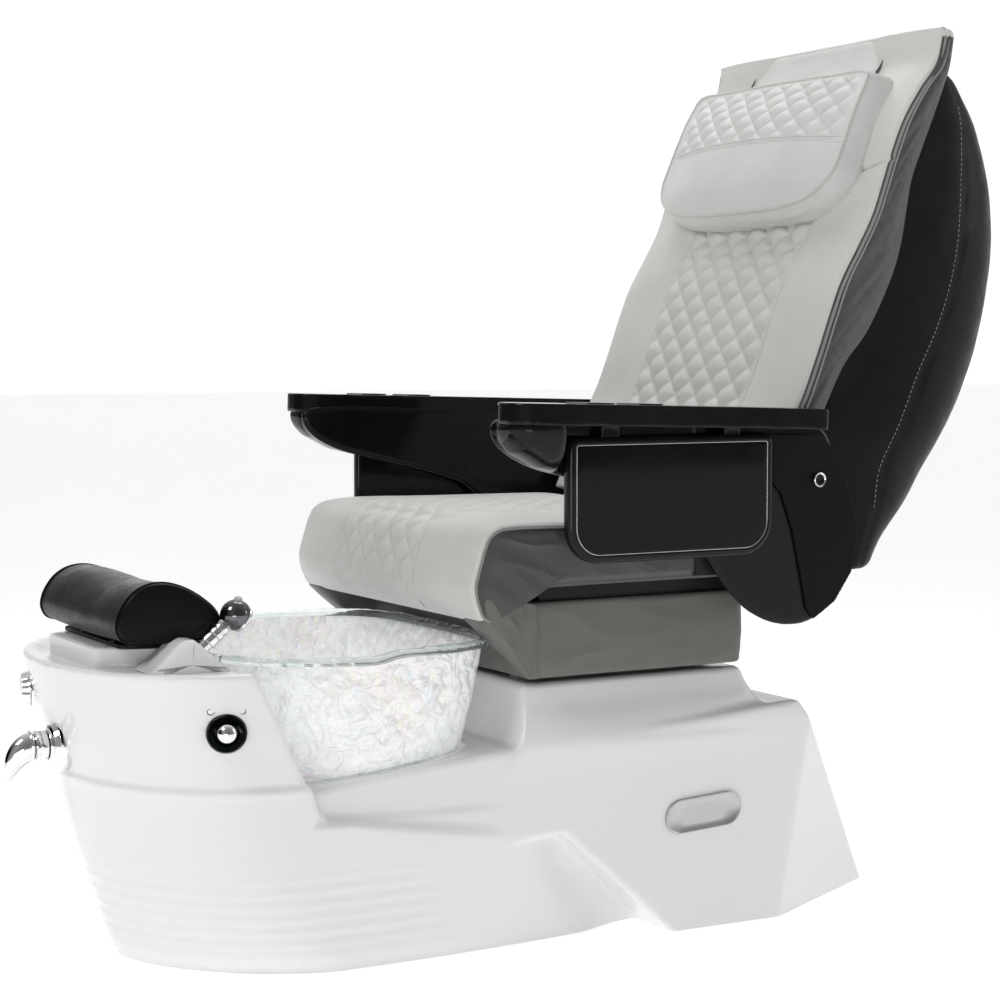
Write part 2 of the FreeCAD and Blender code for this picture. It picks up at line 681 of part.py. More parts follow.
def make_seat_frame():
    """Welded seat frame with the two side plates that carry the back and the arms."""
    top = size("pedestal_top")
    spacing = size("rail_spacing")
    level = top + 32.5
    rails = [tube(330, 25, 2, (side * spacing, -64, level), (0, 1, 0)) for side in (-1, 1)]
    runners = [Part.makeBox(24, 230, 9, Vector(side * spacing - 12, -60, top + 11)) for side in (-1, 1)]
    cross = [tube(480, 25, 2, (-240, y, level + 25.0), (1, 0, 0)) for y in (-40, 230)]
    risers = [tube(70, 25, 2, (side * 200, y, level + 37.5), (0, 0, 1))
              for side in (-1, 1) for y in (-40, 230)]
    frame = rails[0].fuse(rails[1:] + runners + cross + risers)
    recline = (size("recline_y"), size("recline_z"))
    arm = (size("arm_pivot_y"), size("arm_pivot_z"))
    plate = [(232, 452), (268, 452), (330, 520), (recline[0] + 34, recline[1] - 20),
             (arm[0] + 26, arm[1] - 10), (arm[0] + 20, arm[1] + 24), (arm[0] - 24, arm[1] + 22),
             (330, 660), (276, 565), (232, 500)]
    for side in (-1, 1):
        low_x = 305 if side > 0 else -311
        frame = frame.fuse(polygon_prism(plate, low_x, low_x + 6))
        web = Part.makeBox(66, 30, 25, Vector(240 if side > 0 else -306, 234, level + 12.5))
        frame = frame.fuse(web)
        pin = Part.makeCylinder(size("recline_pin_radius"), 40,
                                Vector(side * 270, recline[0], recline[1]), Vector(side, 0, 0))
        frame = frame.fuse(pin)
        arm_pin = Part.makeCylinder(size("arm_pin_radius"), 40,
                                    Vector(side * 306, arm[0], arm[1]), Vector(side, 0, 0))
        frame = frame.fuse(arm_pin)
    return keep(feature("seat_frame_part", frame), "seat_frame")


def make_skirt():
    outer = box("skirt_outer", "2 * skirt_half_width", "skirt_length", "skirt_height",
                ("-skirt_half_width", "skirt_front_y", "skirt_bottom"))
    inner = box("skirt_inner", "2 * skirt_half_width - 2 * skirt_wall", "skirt_length - 2 * skirt_wall",
                "skirt_height + 2", ("skirt_wall - skirt_half_width", "skirt_front_y + skirt_wall",
                                     "skirt_bottom - 1"))
    notch = box("skirt_notch", 700, 46, 60, (-350, 228, "skirt_bottom + 30"))
    keep(cut("skirt_part", cut("skirt_ring", outer, inner), notch), "seat_skirt")


# ---------------------------------------------------------------- back

# Side outline (y, z) of the back cushion: front face upwards, then its rear face.
BACK_FRONT = [(300, 668), (330, 760), (384, 868), (424, 960), (462, 1056), (492, 1130), (530, 1210),
              (572, 1300), (622, 1390), (655, 1444)]
BACK_REAR = [(681, 1436), (664, 1370), (618, 1266), (584, 1170), (550, 1060), (512, 972), (458, 880),
             (400, 782), (352, 690), (330, 655)]
# Rear outline (y, z) of the shell at its sides; the middle stands further out.
SHELL_REAR = [(705, 1385), (752, 1345), (782, 1270), (800, 1180), (798, 1080), (776, 980), (728, 880),
              (668, 780), (600, 680), (530, 590), (470, 560)]
SHELL_CROWN = 90
RECLINE_LEAN = math.atan2(560, 200)
# How far the back frame lies behind the pivot's line, and its cross tubes along it.
FRAME_DEPTH = 62
BACK_CROSS_TUBES = (80, 742)


def make_back_shell():
    """Rear housing: lofted across X so that its middle stands out behind."""
    front = [(y + 1.5, z) for y, z in BACK_REAR[1:-1]]
    low_front = [(356, 640), (400, 566)]
    half = size("back_half_width")
    outer = []
    inner = []
    wall = 5
    for share in (-1, -0.8, -0.4, 0, 0.4, 0.8, 1):
        crown = SHELL_CROWN * (1 - share ** 4)
        rear = [(y + crown * min(1, (z - 540) / 240), z) for y, z in SHELL_REAR]
        outer.append(shell_section(share * half, front + low_front, rear))
        thin = [(y - wall - 2, z) for y, z in rear[1:-1]]
        inner.append(shell_section(share * (half - wall), shifted(front[1:], -14), thin))
    solid = Part.makeLoft(outer, True, True)
    hollow = Part.makeLoft(inner, True, True)
    shell = solid.cut(hollow)
    slot = polygon_prism([(330, 560), (330, 652), (430, 652), (430, 560)], -310, 310)
    pin_room = Part.makeBox(700, 60, 60, Vector(-350, size("recline_y") - 30, size("recline_z") - 30))
    shell = shell.cut([slot, pin_room] + back_tube_room())
    return keep(feature("back_shell_part", shell.removeSplitter()), "back_shell")


def shifted(points, amount):
    return [(y + amount * 0.9, z - amount * 0.4) for y, z in points]


def shell_section(x, front, rear):
    loop = front + list(reversed(rear))
    return Part.makePolygon([Vector(x, y, z) for y, z in loop + loop[:1]])


def along_back(distance, offset):
    """Point (y, z) at a distance up the back's lean from the pivot, and behind it."""
    lean_y = math.cos(RECLINE_LEAN)
    lean_z = math.sin(RECLINE_LEAN)
    return (size("recline_y") + distance * lean_y + offset * lean_z,
            size("recline_z") + distance * lean_z - offset * lean_y)


def back_tube_room():
    """Solid bars a little thicker than the back frame's tubes."""
    lean = (0, math.cos(RECLINE_LEAN), math.sin(RECLINE_LEAN))
    low_y, low_z = along_back(58, FRAME_DEPTH)
    bars = []
    for side in (-1, 1):
        bar = Part.makeBox(27, 27, 704, Vector(-13.5, -13.5, 0))
        bar.Placement = Placement(Vector(side * 240, low_y, low_z), Rotation(Vector(0, 0, 1), Vector(*lean)))
        bars.append(bar)
    for distance in BACK_CROSS_TUBES:
        y, z = along_back(distance, FRAME_DEPTH)
        bars.append(Part.makeBox(480, 30, 30, Vector(-240, y - 15, z - 15)))
    for side in (-1, 1):
        bars.append(polygon_prism(hinge_arm_outline(3), side * 282 - 7, side * 282 + 7))
        y, z = along_back(110, FRAME_DEPTH - 6)
        bars.append(Part.makeBox(44, 26, 26, Vector(side * 266 - 22, y - 11, z - 41)))
    return bars


def hinge_arm_outline(grow=0):
    """Side outline (y, z) of the flat arms that reach from the back frame to its pivot."""
    pivot_y = size("recline_y")
    pivot_z = size("recline_z")
    y, z = along_back(110, FRAME_DEPTH - 6)
    return [(pivot_y - 20 - grow, pivot_z - 14 - grow), (pivot_y + 8 + grow, pivot_z - 22 - grow),
            (y + 30 + grow, z - 40 - grow), (y + 18 + grow, z + grow), (y - 12 - grow, z + grow),
            (pivot_y - 22 - grow, pivot_z + 16 + grow)]


def make_back_frame():
    """Steel back frame: two leaning side tubes, cross tubes and the pivot bosses."""
    lean = (0, math.cos(RECLINE_LEAN), math.sin(RECLINE_LEAN))
    low_y, low_z = along_back(60, FRAME_DEPTH)
    sides = [tube(700, 25, 2, (side * 240, low_y, low_z), lean) for side in (-1, 1)]
    cross = []
    for distance in BACK_CROSS_TUBES:
        y, z = along_back(distance, FRAME_DEPTH)
        cross.append(tube(455, 25, 2, (-227.5, y, z), (1, 0, 0)))
    frame = sides[0].fuse(sides[1:] + cross)
    pivot = Vector(0, size("recline_y"), size("recline_z"))
    for side in (-1, 1):
        y, z = along_back(110, FRAME_DEPTH - 6)
        low_x = 278 if side > 0 else -286
        arm = polygon_prism(hinge_arm_outline(), low_x, low_x + 8)
        web = Part.makeBox(40, 24, 24, Vector(246 if side > 0 else -286, y - 10, z - 40))
        frame = frame.fuse([arm, web])
    bore = Part.makeCylinder(size("recline_pin_radius") + size("pin_clearance"), 700,
                             Vector(-350, pivot.y, pivot.z), Vector(1, 0, 0))
    return keep(feature("back_frame_part", frame.cut(bore)), "back_frame")


def make_massage():
    """Roller carriage on two inclined rails inside the back."""
    lean = Vector(0, math.cos(RECLINE_LEAN), math.sin(RECLINE_LEAN))
    spacing = size("massage_rail_spacing")
    radius = size("massage_rail_radius")
    low_y, low_z = along_back(101, 62)
    rails = [Part.makeCylinder(radius, 620, Vector(side * spacing, low_y, low_z), lean)
             for side in (-1, 1)]
    keep(feature("massage_rails_part", Part.makeCompound(rails)), "massage_rails")
    y, z = along_back(200, 62)
    turn = Rotation(Vector(0, 0, 1), lean)
    block = Part.makeBox(2 * spacing + 44, 30, 60, Vector(-spacing - 22, -15, 0))
    for side in (-1, 1):
        block = block.cut(Part.makeCylinder(radius + 0.1, 70, Vector(side * spacing, 0, -5)))
    motor = Part.makeCylinder(24, 90, Vector(-45, 36, 30), Vector(1, 0, 0))
    block = block.fuse([Part.makeBox(8, 34, 40, Vector(side * 22 - 4, -34, 10)) for side in (-1, 1)])
    block = block.fuse(motor)
    axle = Part.makeCylinder(6.05, 80, Vector(-40, -26, 30), Vector(1, 0, 0))
    item = feature("massage_carriage_part", block.cut(axle))
    item.Placement = Placement(Vector(0, y, z), turn)
    keep(item, "massage_carriage")
    drum = Part.makeCylinder(6, 150, Vector(-75, 0, 0), Vector(1, 0, 0))
    rollers = [Part.makeCylinder(9.5, 26, Vector(x, 0, 0), Vector(1, 0, 0)) for x in (-75, 49)]
    wheel = feature("massage_rollers_part", drum.fuse(rollers))
    centre = Vector(0, y, z) + turn.multVec(Vector(0, -26, 30))
    wheel.Placement = Placement(centre, Rotation())
    keep(wheel, "massage_rollers")


def make_back():
    make_back_frame()
    make_back_shell()
    outline = BACK_FRONT + BACK_REAR
    narrow = size("back_half_width")
    wide = size("cushion_half_width")
    cushion = polygon_prism(outline, -wide, wide)
    # Between the arms' brackets the cushion is narrower.
    step_z = 775
    sides = [Part.makeBox(wide, 400, step_z, Vector(low_x, 200, 0)) for low_x in (-narrow - wide, narrow)]
    keep(feature("back_cushion_part", cushion.cut(sides)), "back_cushion")
    pillow = [(452, 1176), (470, 1153), (502, 1166), (545, 1236), (600, 1345), (608, 1376), (592, 1392),
              (548, 1386), (510, 1340), (478, 1262)]
    panel = smooth_prism(pillow, -size("pillow_half_width"), size("pillow_half_width"))
    back = polygon_prism([(y - 0.5, z) for y, z in outline], -400, 400)
    keep(feature("pillow_part", panel.cut(back)), "pillow")
    make_massage()
    gear = [(0, 0), (28, 0), (28, 60), (0, 60)]
    housing = turned("recline_motor_body", gear, (-262, "recline_y", "recline_z"), (1, 0, 0))
    tail = cylinder("recline_motor_tail", 22, 120, (-202, "recline_y", "recline_z"), (1, 0, 0))
    keep(fuse("recline_motor_part", housing, tail), "recline_motor")


# ---------------------------------------------------------------- arms and trays

# Side outline (y, z) of the moulded arm: along the top, down the rear, the rounded
# lower end, then up and forward along the underside to the tip.
ARM_OUTLINE = [(-184, 802), (60, 799), (240, 796), (390, 791), (420, 770), (450, 715), (470, 664),
               (476, 616), (462, 560), (428, 512), (376, 484), (320, 484), (262, 508), (214, 552),
               (176, 604), (150, 650), (112, 684), (40, 704), (-60, 728), (-150, 752), (-194, 776)]
COVER_OUTLINE = [(292, 720), (318, 694), (340, 636), (356, 570), (369, 508), (384, 490), (426, 516),
                 (459, 562), (472, 616), (466, 663), (447, 713), (417, 767), (390, 789), (236, 794),
                 (240, 740)]


def arm_node(label, shape, side):
    placed = shape if side == "left" else mirror_x(shape)
    return keep(feature(f"{label}_{side}_part", placed), f"{label}_{side}")


def make_arm(side):
    inner = size("arm_inner_x")
    outer = inner + size("arm_wall")
    pivot = Vector(inner - 2, size("arm_pivot_y"), size("arm_pivot_z"))
    body = smooth_prism(ARM_OUTLINE, inner, outer)
    body = trim(body, (0, 0, 797), (0, 0.028, 1))
    bore = Part.makeCylinder(size("arm_pin_radius") + size("pin_clearance"), 60, pivot, Vector(1, 0, 0))
    arm_node("arm_body", body.cut(bore), side)
    skin = polygon_prism(COVER_OUTLINE, outer + 0.1, outer + 5)
    skin = trim(skin, (0, 0, 797), (0, 0.028, 1)).cut(bore)
    arm_node("arm_cover", skin, side)

    low_x = size("arm_top_inner_x")
    high_x = size("arm_top_outer_x")
    corners = [Vector(low_x, -207, 0), Vector(high_x, -207, 0), Vector(high_x, 390, 0),
               Vector(low_x, 390, 0)]
    edges = rounded_edges(corners, [40, 40, 14, 6])
    slab = Part.Face(Part.Wire([edge.toShape() for edge in edges])).extrude(Vector(0, 0, 32))
    slab.rotate(Vector(0, -207, 0), Vector(1, 0, 0), -1.6)
    slab.translate(Vector(0, 0, 813.4))
    lugs = make_tray(side)
    arm_node("arm_top", slab.fuse(lugs), side)
    insert_corners = [Vector(low_x + 14, -120, 0), Vector(high_x - 14, -120, 0),
                      Vector(high_x - 14, 60, 0), Vector(low_x + 14, 60, 0)]
    insert_edges = rounded_edges(insert_corners, [20] * 4)
    insert = Part.Face(Part.Wire([edge.toShape() for edge in insert_edges])).extrude(Vector(0, 0, 2))
    insert.rotate(Vector(0, -207, 0), Vector(1, 0, 0), -1.6)
    insert.translate(Vector(0, 0, 845.5))
    arm_node("arm_top_pad", insert, side)

    cap = Part.makeCylinder(14, 4, Vector(outer + 5.2, pivot.y, pivot.z), Vector(1, 0, 0))
    cap = cap.cut(Part.makeCylinder(10, 3, Vector(outer + 7.2, pivot.y, pivot.z), Vector(1, 0, 0)))
    arm_node("arm_pivot_cap", cap, side)


def make_tray(side):
    """Flip-up manicure tray: a bezel with a glass panel, hung from a pin under the arm."""
    axis_x = size("tray_axis_x")
    axis_z = size("tray_axis_z")
    thick = size("tray_thickness")
    low_x = axis_x - thick / 2
    front = size("tray_front_y")
    rear = front + size("tray_length")
    top = size("tray_top")
    bottom = top - size("tray_height")
    corners = [Vector(low_x, front, top), Vector(low_x, rear, top), Vector(low_x, rear, bottom),
               Vector(low_x, front, bottom)]
    edges = rounded_edges(corners, [11, 11, 55, 55])
    bezel = Part.Face(Part.Wire([edge.toShape() for edge in edges])).extrude(Vector(thick, 0, 0))
    border = 13
    inset = [Vector(low_x + thick - 6, front + border, top - border - 3),
             Vector(low_x + thick - 6, rear - border, top - border - 3),
             Vector(low_x + thick - 6, rear - border, bottom + border),
             Vector(low_x + thick - 6, front + border, bottom + border)]
    inset_edges = rounded_edges(inset, [6, 6, 44, 44])
    panel = Part.Face(Part.Wire([edge.toShape() for edge in inset_edges])).extrude(Vector(5, 0, 0))
    knuckle_room = []
    knuckles = []
    for y in (front + 60, rear - 92):
        knuckle_room.append(Part.makeBox(thick + 2, 32.6, 24, Vector(low_x - 1, y - 0.3, axis_z - 10)))
        ear = Part.makeCylinder(5.5, 32, Vector(axis_x, y, axis_z), Vector(0, 1, 0))
        lug = ear.fuse(Part.makeBox(8, 32, 815 - axis_z, Vector(axis_x - 4, y, axis_z)))
        knuckles.append(lug.cut(Part.makeCylinder(3.05, 40, Vector(axis_x, y - 2, axis_z), Vector(0, 1, 0))))
    pins = [Part.makeCylinder(3, 56, Vector(axis_x, y - 12, axis_z), Vector(0, 1, 0))
            for y in (front + 60, rear - 92)]
    bezel = bezel.cut(knuckle_room).cut(panel)
    bezel = bezel.cut([Part.makeCylinder(3, 56, Vector(axis_x, y - 12, axis_z), Vector(0, 1, 0))
                       for y in (front + 60, rear - 92)])
    arm_node("tray_bezel", bezel, side)
    arm_node("tray_panel", panel, side)
    arm_node("tray_pins", Part.makeCompound(pins), side)
    return knuckles


# ---------------------------------------------------------------- build, check, export

make_base_group()
make_glass_bowl()
make_drain()
make_jet()
make_nose_controls()
make_footrest()
make_sprayer()
doc.recompute()
make_base_shell([part for part in subparts if part.Label in WALL_FITTINGS])
make_seat()
make_back()
for arm_side in ("left", "right"):
    make_arm(arm_side)
doc.recompute()

failed = [item.Label for item in doc.Objects if {"Invalid", "Error"} & set(item.State)]
if failed:
    raise RuntimeError(f"objects failed to recompute: {failed}")
os.makedirs("parts", exist_ok=True)
for part in subparts:
    if part.Shape.isNull() or not part.Shape.isValid():
        raise RuntimeError(f"{part.Label} has no valid shape")
for part in subparts:
    part.Shape.exportStep(os.path.join("parts", f"{part.Label}.step"))
print(len(subparts), "sub-parts written")
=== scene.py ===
"""Looks of the pedicure spa chair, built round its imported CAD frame.

+X is the sitter's left, +Y the back of the chair, the basin is at -Y, the floor is z = 0.
Everything is in metres.
"""

import json
import math

import bmesh
import bpy
import numpy as np
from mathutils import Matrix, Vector, noise
from mathutils.bvhtree import BVHTree
from mathutils.kdtree import KDTree

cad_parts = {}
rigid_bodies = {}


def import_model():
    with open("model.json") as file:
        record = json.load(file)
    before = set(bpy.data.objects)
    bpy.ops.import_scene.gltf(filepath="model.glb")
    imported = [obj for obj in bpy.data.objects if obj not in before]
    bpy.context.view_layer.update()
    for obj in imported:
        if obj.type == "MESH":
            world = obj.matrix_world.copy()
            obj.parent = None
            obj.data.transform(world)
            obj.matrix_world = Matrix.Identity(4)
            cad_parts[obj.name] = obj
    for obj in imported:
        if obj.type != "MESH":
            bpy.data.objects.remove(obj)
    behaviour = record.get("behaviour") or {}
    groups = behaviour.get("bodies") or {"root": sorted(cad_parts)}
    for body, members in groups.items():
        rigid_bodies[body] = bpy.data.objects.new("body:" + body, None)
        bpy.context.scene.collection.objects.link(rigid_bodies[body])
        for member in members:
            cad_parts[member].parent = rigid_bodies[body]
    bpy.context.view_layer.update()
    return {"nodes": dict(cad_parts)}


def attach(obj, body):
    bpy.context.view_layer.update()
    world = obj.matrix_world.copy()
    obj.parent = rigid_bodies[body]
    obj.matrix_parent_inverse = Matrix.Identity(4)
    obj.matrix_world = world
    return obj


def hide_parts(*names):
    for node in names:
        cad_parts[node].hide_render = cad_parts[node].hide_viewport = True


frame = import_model()
SIDES = ((1, "left"), (-1, "right"))


# ------------------------------------------------------------------ small maths

def spline(points, count, closed=False):
    """Catmull-Rom curve through points, resampled at even steps along its length."""
    pts = np.array(points, float)
    n = len(pts)
    fine = []
    spans = n if closed else n - 1
    for i in range(spans):
        if closed:
            a, b, c, d = pts[(i - 1) % n], pts[i], pts[(i + 1) % n], pts[(i + 2) % n]
        else:
            b, c = pts[i], pts[i + 1]
            a = pts[i - 1] if i > 0 else 2 * b - c
            d = pts[i + 2] if i + 2 < n else 2 * c - b
        t0, t1 = 0.0, max(np.linalg.norm(b - a), 1e-9) ** 0.5
        t2 = t1 + max(np.linalg.norm(c - b), 1e-9) ** 0.5
        t3 = t2 + max(np.linalg.norm(d - c), 1e-9) ** 0.5
        for t in np.linspace(t1, t2, 24, endpoint=False):
            a1 = (t1 - t) / (t1 - t0) * a + (t - t0) / (t1 - t0) * b
            a2 = (t2 - t) / (t2 - t1) * b + (t - t1) / (t2 - t1) * c
            a3 = (t3 - t) / (t3 - t2) * c + (t - t2) / (t3 - t2) * d
            b1 = (t2 - t) / (t2 - t0) * a1 + (t - t0) / (t2 - t0) * a2
            b2 = (t3 - t) / (t3 - t1) * a2 + (t - t1) / (t3 - t1) * a3
            fine.append((t2 - t) / (t2 - t1) * b1 + (t - t1) / (t2 - t1) * b2)
    fine.append(pts[0] if closed else pts[-1])
    return resample(np.array(fine), count, closed)


def resample(line, count, closed=False):
    """Points at even steps along a polyline; a closed one doesn't repeat its first point."""
    line = np.array(line, float)
    if closed and np.linalg.norm(line[0] - line[-1]) > 1e-9:
        line = np.vstack([line, line[:1]])
    length = np.concatenate([[0], np.cumsum(np.linalg.norm(np.diff(line, axis=0), axis=1))])
    where = np.linspace(0, length[-1], count, endpoint=not closed)
    return np.stack([np.interp(where, length, line[:, k]) for k in range(line.shape[1])], axis=1)


def smoothstep(a, b, x):
    t = np.clip((np.asarray(x, float) - a) / (b - a), 0, 1)
    return t * t * (3 - 2 * t)


def round_off(x):
    """Quarter circle: 0 at 0, 1 from 1 on."""
    return 1 - math.sqrt(max(0.0, 1 - min(1, x) ** 2))


def through(x, xs, ys):
    """Smooth curve through (xs, ys) at x, flat beyond its ends."""
    xs, ys = np.array(xs, float), np.array(ys, float)
    slope = np.gradient(ys, xs)
    x = np.clip(np.asarray(x, float), xs[0], xs[-1])
    i = np.clip(np.searchsorted(xs, x) - 1, 0, len(xs) - 2)
    h = xs[i + 1] - xs[i]
    t = (x - xs[i]) / h
    return ((1 + 2 * t) * (1 - t) ** 2 * ys[i] + t * (1 - t) ** 2 * h * slope[i]
            + t * t * (3 - 2 * t) * ys[i + 1] + t * t * (t - 1) * h * slope[i + 1])


def normals_2d(loop):
    """Outward normals of a closed 2-D loop."""
    ahead, behind = np.roll(loop, -1, 0), np.roll(loop, 1, 0)
    tangent = ahead - behind
    tangent /= np.linalg.norm(tangent, axis=1)[:, None] + 1e-12
    normal = np.stack([tangent[:, 1], -tangent[:, 0]], 1)
    area = 0.5 * np.sum(loop[:, 0] * ahead[:, 1] - ahead[:, 0] * loop[:, 1])
    return normal if area > 0 else -normal


# ------------------------------------------------------------------ mesh helpers

def make(name, verts, faces, material, smooth=True):
    data = bpy.data.meshes.new(name)
    data.from_pydata([tuple(v) for v in verts], [], faces)
    data.update()
    obj = bpy.data.objects.new(name, data)
    bpy.context.collection.objects.link(obj)
    if material is not None:
        data.materials.append(material)
    data.polygons.foreach_set("use_smooth", [smooth] * len(data.polygons))
    return obj


def coat(data, material):
    """The mesh takes this one material."""
    data.materials.clear()
    data.materials.append(material)


def dress(obj, body, replaces=()):
    """The piece rides a body and stands for CAD nodes."""
    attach(obj, body)
    if replaces:
        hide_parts(*([replaces] if isinstance(replaces, str) else replaces))
    return obj


def grid_faces(rows, cols, closed_rows=False, closed_cols=False):
    faces = []
    for i in range(rows if closed_rows else rows - 1):
        for j in range(cols if closed_cols else cols - 1):
            a, b = i * cols + j, i * cols + (j + 1) % cols
            c, d = ((i + 1) % rows) * cols + (j + 1) % cols, ((i + 1) % rows) * cols + j
            faces.append((a, b, c, d))
    return faces


def fix_normals(obj):
    mesh = bmesh.new()
    mesh.from_mesh(obj.data)
    bmesh.ops.recalc_face_normals(mesh, faces=mesh.faces)
    mesh.to_mesh(obj.data)
    mesh.free()
    return obj


def loft(name, rings, material, caps=True, smooth=True):
    """Closed rings of equal length joined into a tube, capped with fans."""
    rings = np.array(rings, float)
    rows, cols = rings.shape[:2]
    verts = list(rings.reshape(-1, 3))
    faces = grid_faces(rows, cols, closed_cols=True)
    if caps:
        for ring, first in ((rings[0], 0), (rings[-1], (rows - 1) * cols)):
            centre = len(verts)
            verts.append(ring.mean(0))
            for j in range(cols):
                faces.append((first + j, first + (j + 1) % cols, centre))
    return fix_normals(make(name, verts, faces, material, smooth))


def lathe(name, profile, centre, axis, material, steps=64):
    """Turns (radius, height) points about an axis through centre."""
    axis = Vector(axis).normalized()
    turn = axis.to_track_quat("Z", "Y")
    verts, faces = [], []
    rows = len(profile)
    for k in range(steps):
        angle = 2 * math.pi * k / steps
        for radius, height in profile:
            verts.append(Vector(centre) + turn @ Vector((radius * math.cos(angle),
                                                         radius * math.sin(angle), height)))
    for k in range(steps):
        for i in range(rows - 1):
            a, b = k * rows + i, k * rows + i + 1
            c, d = ((k + 1) % steps) * rows + i + 1, ((k + 1) % steps) * rows + i
            faces.append((a, b, c, d))
    obj = make(name, verts, faces, material)
    mesh = bmesh.new()
    mesh.from_mesh(obj.data)
    bmesh.ops.remove_doubles(mesh, verts=mesh.verts, dist=1e-6)
    bmesh.ops.recalc_face_normals(mesh, faces=mesh.faces)
    mesh.to_mesh(obj.data)
    mesh.free()
    obj.data.polygons.foreach_set("use_smooth", [True] * len(obj.data.polygons))
    sharpen(obj, 32)
    return obj


def sharpen(obj, degrees):
    """Edges sharper than this angle are shaded as corners."""
    obj.data.set_sharp_from_angle(angle=math.radians(degrees))
    return obj


def modify(obj, kind, **values):
    item = obj.modifiers.new(kind.title(), kind)
    for key, value in values.items():
        setattr(item, key, value)
    return item


def apply_all(obj):
    bpy.context.view_layer.update()
    depsgraph = bpy.context.evaluated_depsgraph_get()
    data = bpy.data.meshes.new_from_object(obj.evaluated_get(depsgraph))
    obj.modifiers.clear()
    old = obj.data
    obj.data = data
    bpy.data.meshes.remove(old)
    return obj


def boolean(obj, other, how="DIFFERENCE"):
    modify(obj, "BOOLEAN", operation=how, object=other, solver="EXACT")
    apply_all(obj)
    bpy.data.objects.remove(other)
    return obj


def joined(name, objects):
    """One object from several."""
    mesh = bmesh.new()
    materials = []
    for item in objects:
        offset = len(mesh.faces)
        local = []
        for mat in item.data.materials:
            if mat not in materials:
                materials.append(mat)
            local.append(materials.index(mat))
        mesh.from_mesh(item.data)
        mesh.faces.ensure_lookup_table()
        for face in list(mesh.faces)[offset:]:
            face.material_index = local[face.material_index] if local else 0
    data = bpy.data.meshes.new(name)
    mesh.to_mesh(data)
    mesh.free()
    for item in objects:
        bpy.data.objects.remove(item)
    for mat in materials:
        data.materials.append(mat)
    obj = bpy.data.objects.new(name, data)
    bpy.context.collection.objects.link(obj)
    return obj


def prism(outline, low_x, high_x, name="tool", material=None):
    """Solid between two x planes from a (y, z) outline."""
    n = len(outline)
    verts = [(low_x, y, z) for y, z in outline] + [(high_x, y, z) for y, z in outline]
    faces = [tuple(range(n)), tuple(range(2 * n - 1, n - 1, -1))]
    faces += [(i, (i + 1) % n, n + (i + 1) % n, n + i) for i in range(n)]
    return fix_normals(make(name, verts, faces, material, smooth=False))


def coords(obj):
    out = np.empty(len(obj.data.vertices) * 3)
    obj.data.vertices.foreach_get("co", out)
    return out.reshape(-1, 3)


def set_coords(obj, values):
    obj.data.vertices.foreach_set("co", np.ascontiguousarray(values, dtype=float).ravel())
    obj.data.update()


def vertex_normals(obj):
    out = np.empty(len(obj.data.vertices) * 3)
    obj.data.vertex_normals.foreach_get("vector", out)
    return out.reshape(-1, 3)


def noise_values(co, scale, size, offset=0.0):
    return np.array([noise.noise(Vector(p) * scale + Vector((offset, 0, 0))) for p in co]) * size

def relax(co, pairs, weight, steps, strength=0.5):
    """Moves points towards the mean of their neighbours, by a weight per point."""
    count = np.bincount(pairs.ravel(), minlength=len(co)).astype(float)
    count[count == 0] = 1
    for _ in range(steps):
        total = np.zeros_like(co)
        for k in range(3):
            total[:, k] = (np.bincount(pairs[:, 0], co[pairs[:, 1], k], len(co))
                           + np.bincount(pairs[:, 1], co[pairs[:, 0], k], len(co)))
        co = co + (weight * strength)[:, None] * (total / count[:, None] - co)
    return co


def edge_pairs(obj):
    out = np.empty(len(obj.data.edges) * 2, dtype=np.int32)
    obj.data.edges.foreach_get("vertices", out)
    return out.reshape(-1, 2)


def soften(obj, voxel, radius, steps, angle=24):
    """Even mesh of a hard-edged solid: flat and curved areas stay exact, edges are rounded."""
    mesh = bmesh.new()
    mesh.from_mesh(obj.data)
    bmesh.ops.recalc_face_normals(mesh, faces=mesh.faces)
    tree = BVHTree.FromBMesh(mesh)
    marks = []
    for edge in mesh.edges:
        if len(edge.link_faces) == 2 and edge.calc_face_angle(0) > math.radians(angle):
            a, b = edge.verts[0].co, edge.verts[1].co
            parts = max(1, int((b - a).length / (voxel * 0.7)))
            marks += [a.lerp(b, k / parts) for k in range(parts + 1)]
    mesh.free()
    creases = KDTree(max(1, len(marks)))
    for index, mark in enumerate(marks):
        creases.insert(mark, index)
    creases.balance()
    modify(obj, "REMESH", mode="VOXEL", voxel_size=voxel)
    apply_all(obj)
    co = coords(obj)
    weight = np.zeros(len(co))
    for index, point in enumerate(co):
        found = tree.find_nearest(Vector(point))
        if found[0] is not None:
            co[index] = found[0]
        near = creases.find(Vector(point))
        if near[0] is not None:
            weight[index] = max(0.0, 1 - near[2] / radius)
    weight = weight * weight * (3 - 2 * weight)
    co = relax(co, edge_pairs(obj), np.maximum(weight, 0.02), steps)
    set_coords(obj, co)
    obj.data.polygons.foreach_set("use_smooth", [True] * len(obj.data.polygons))
    return obj


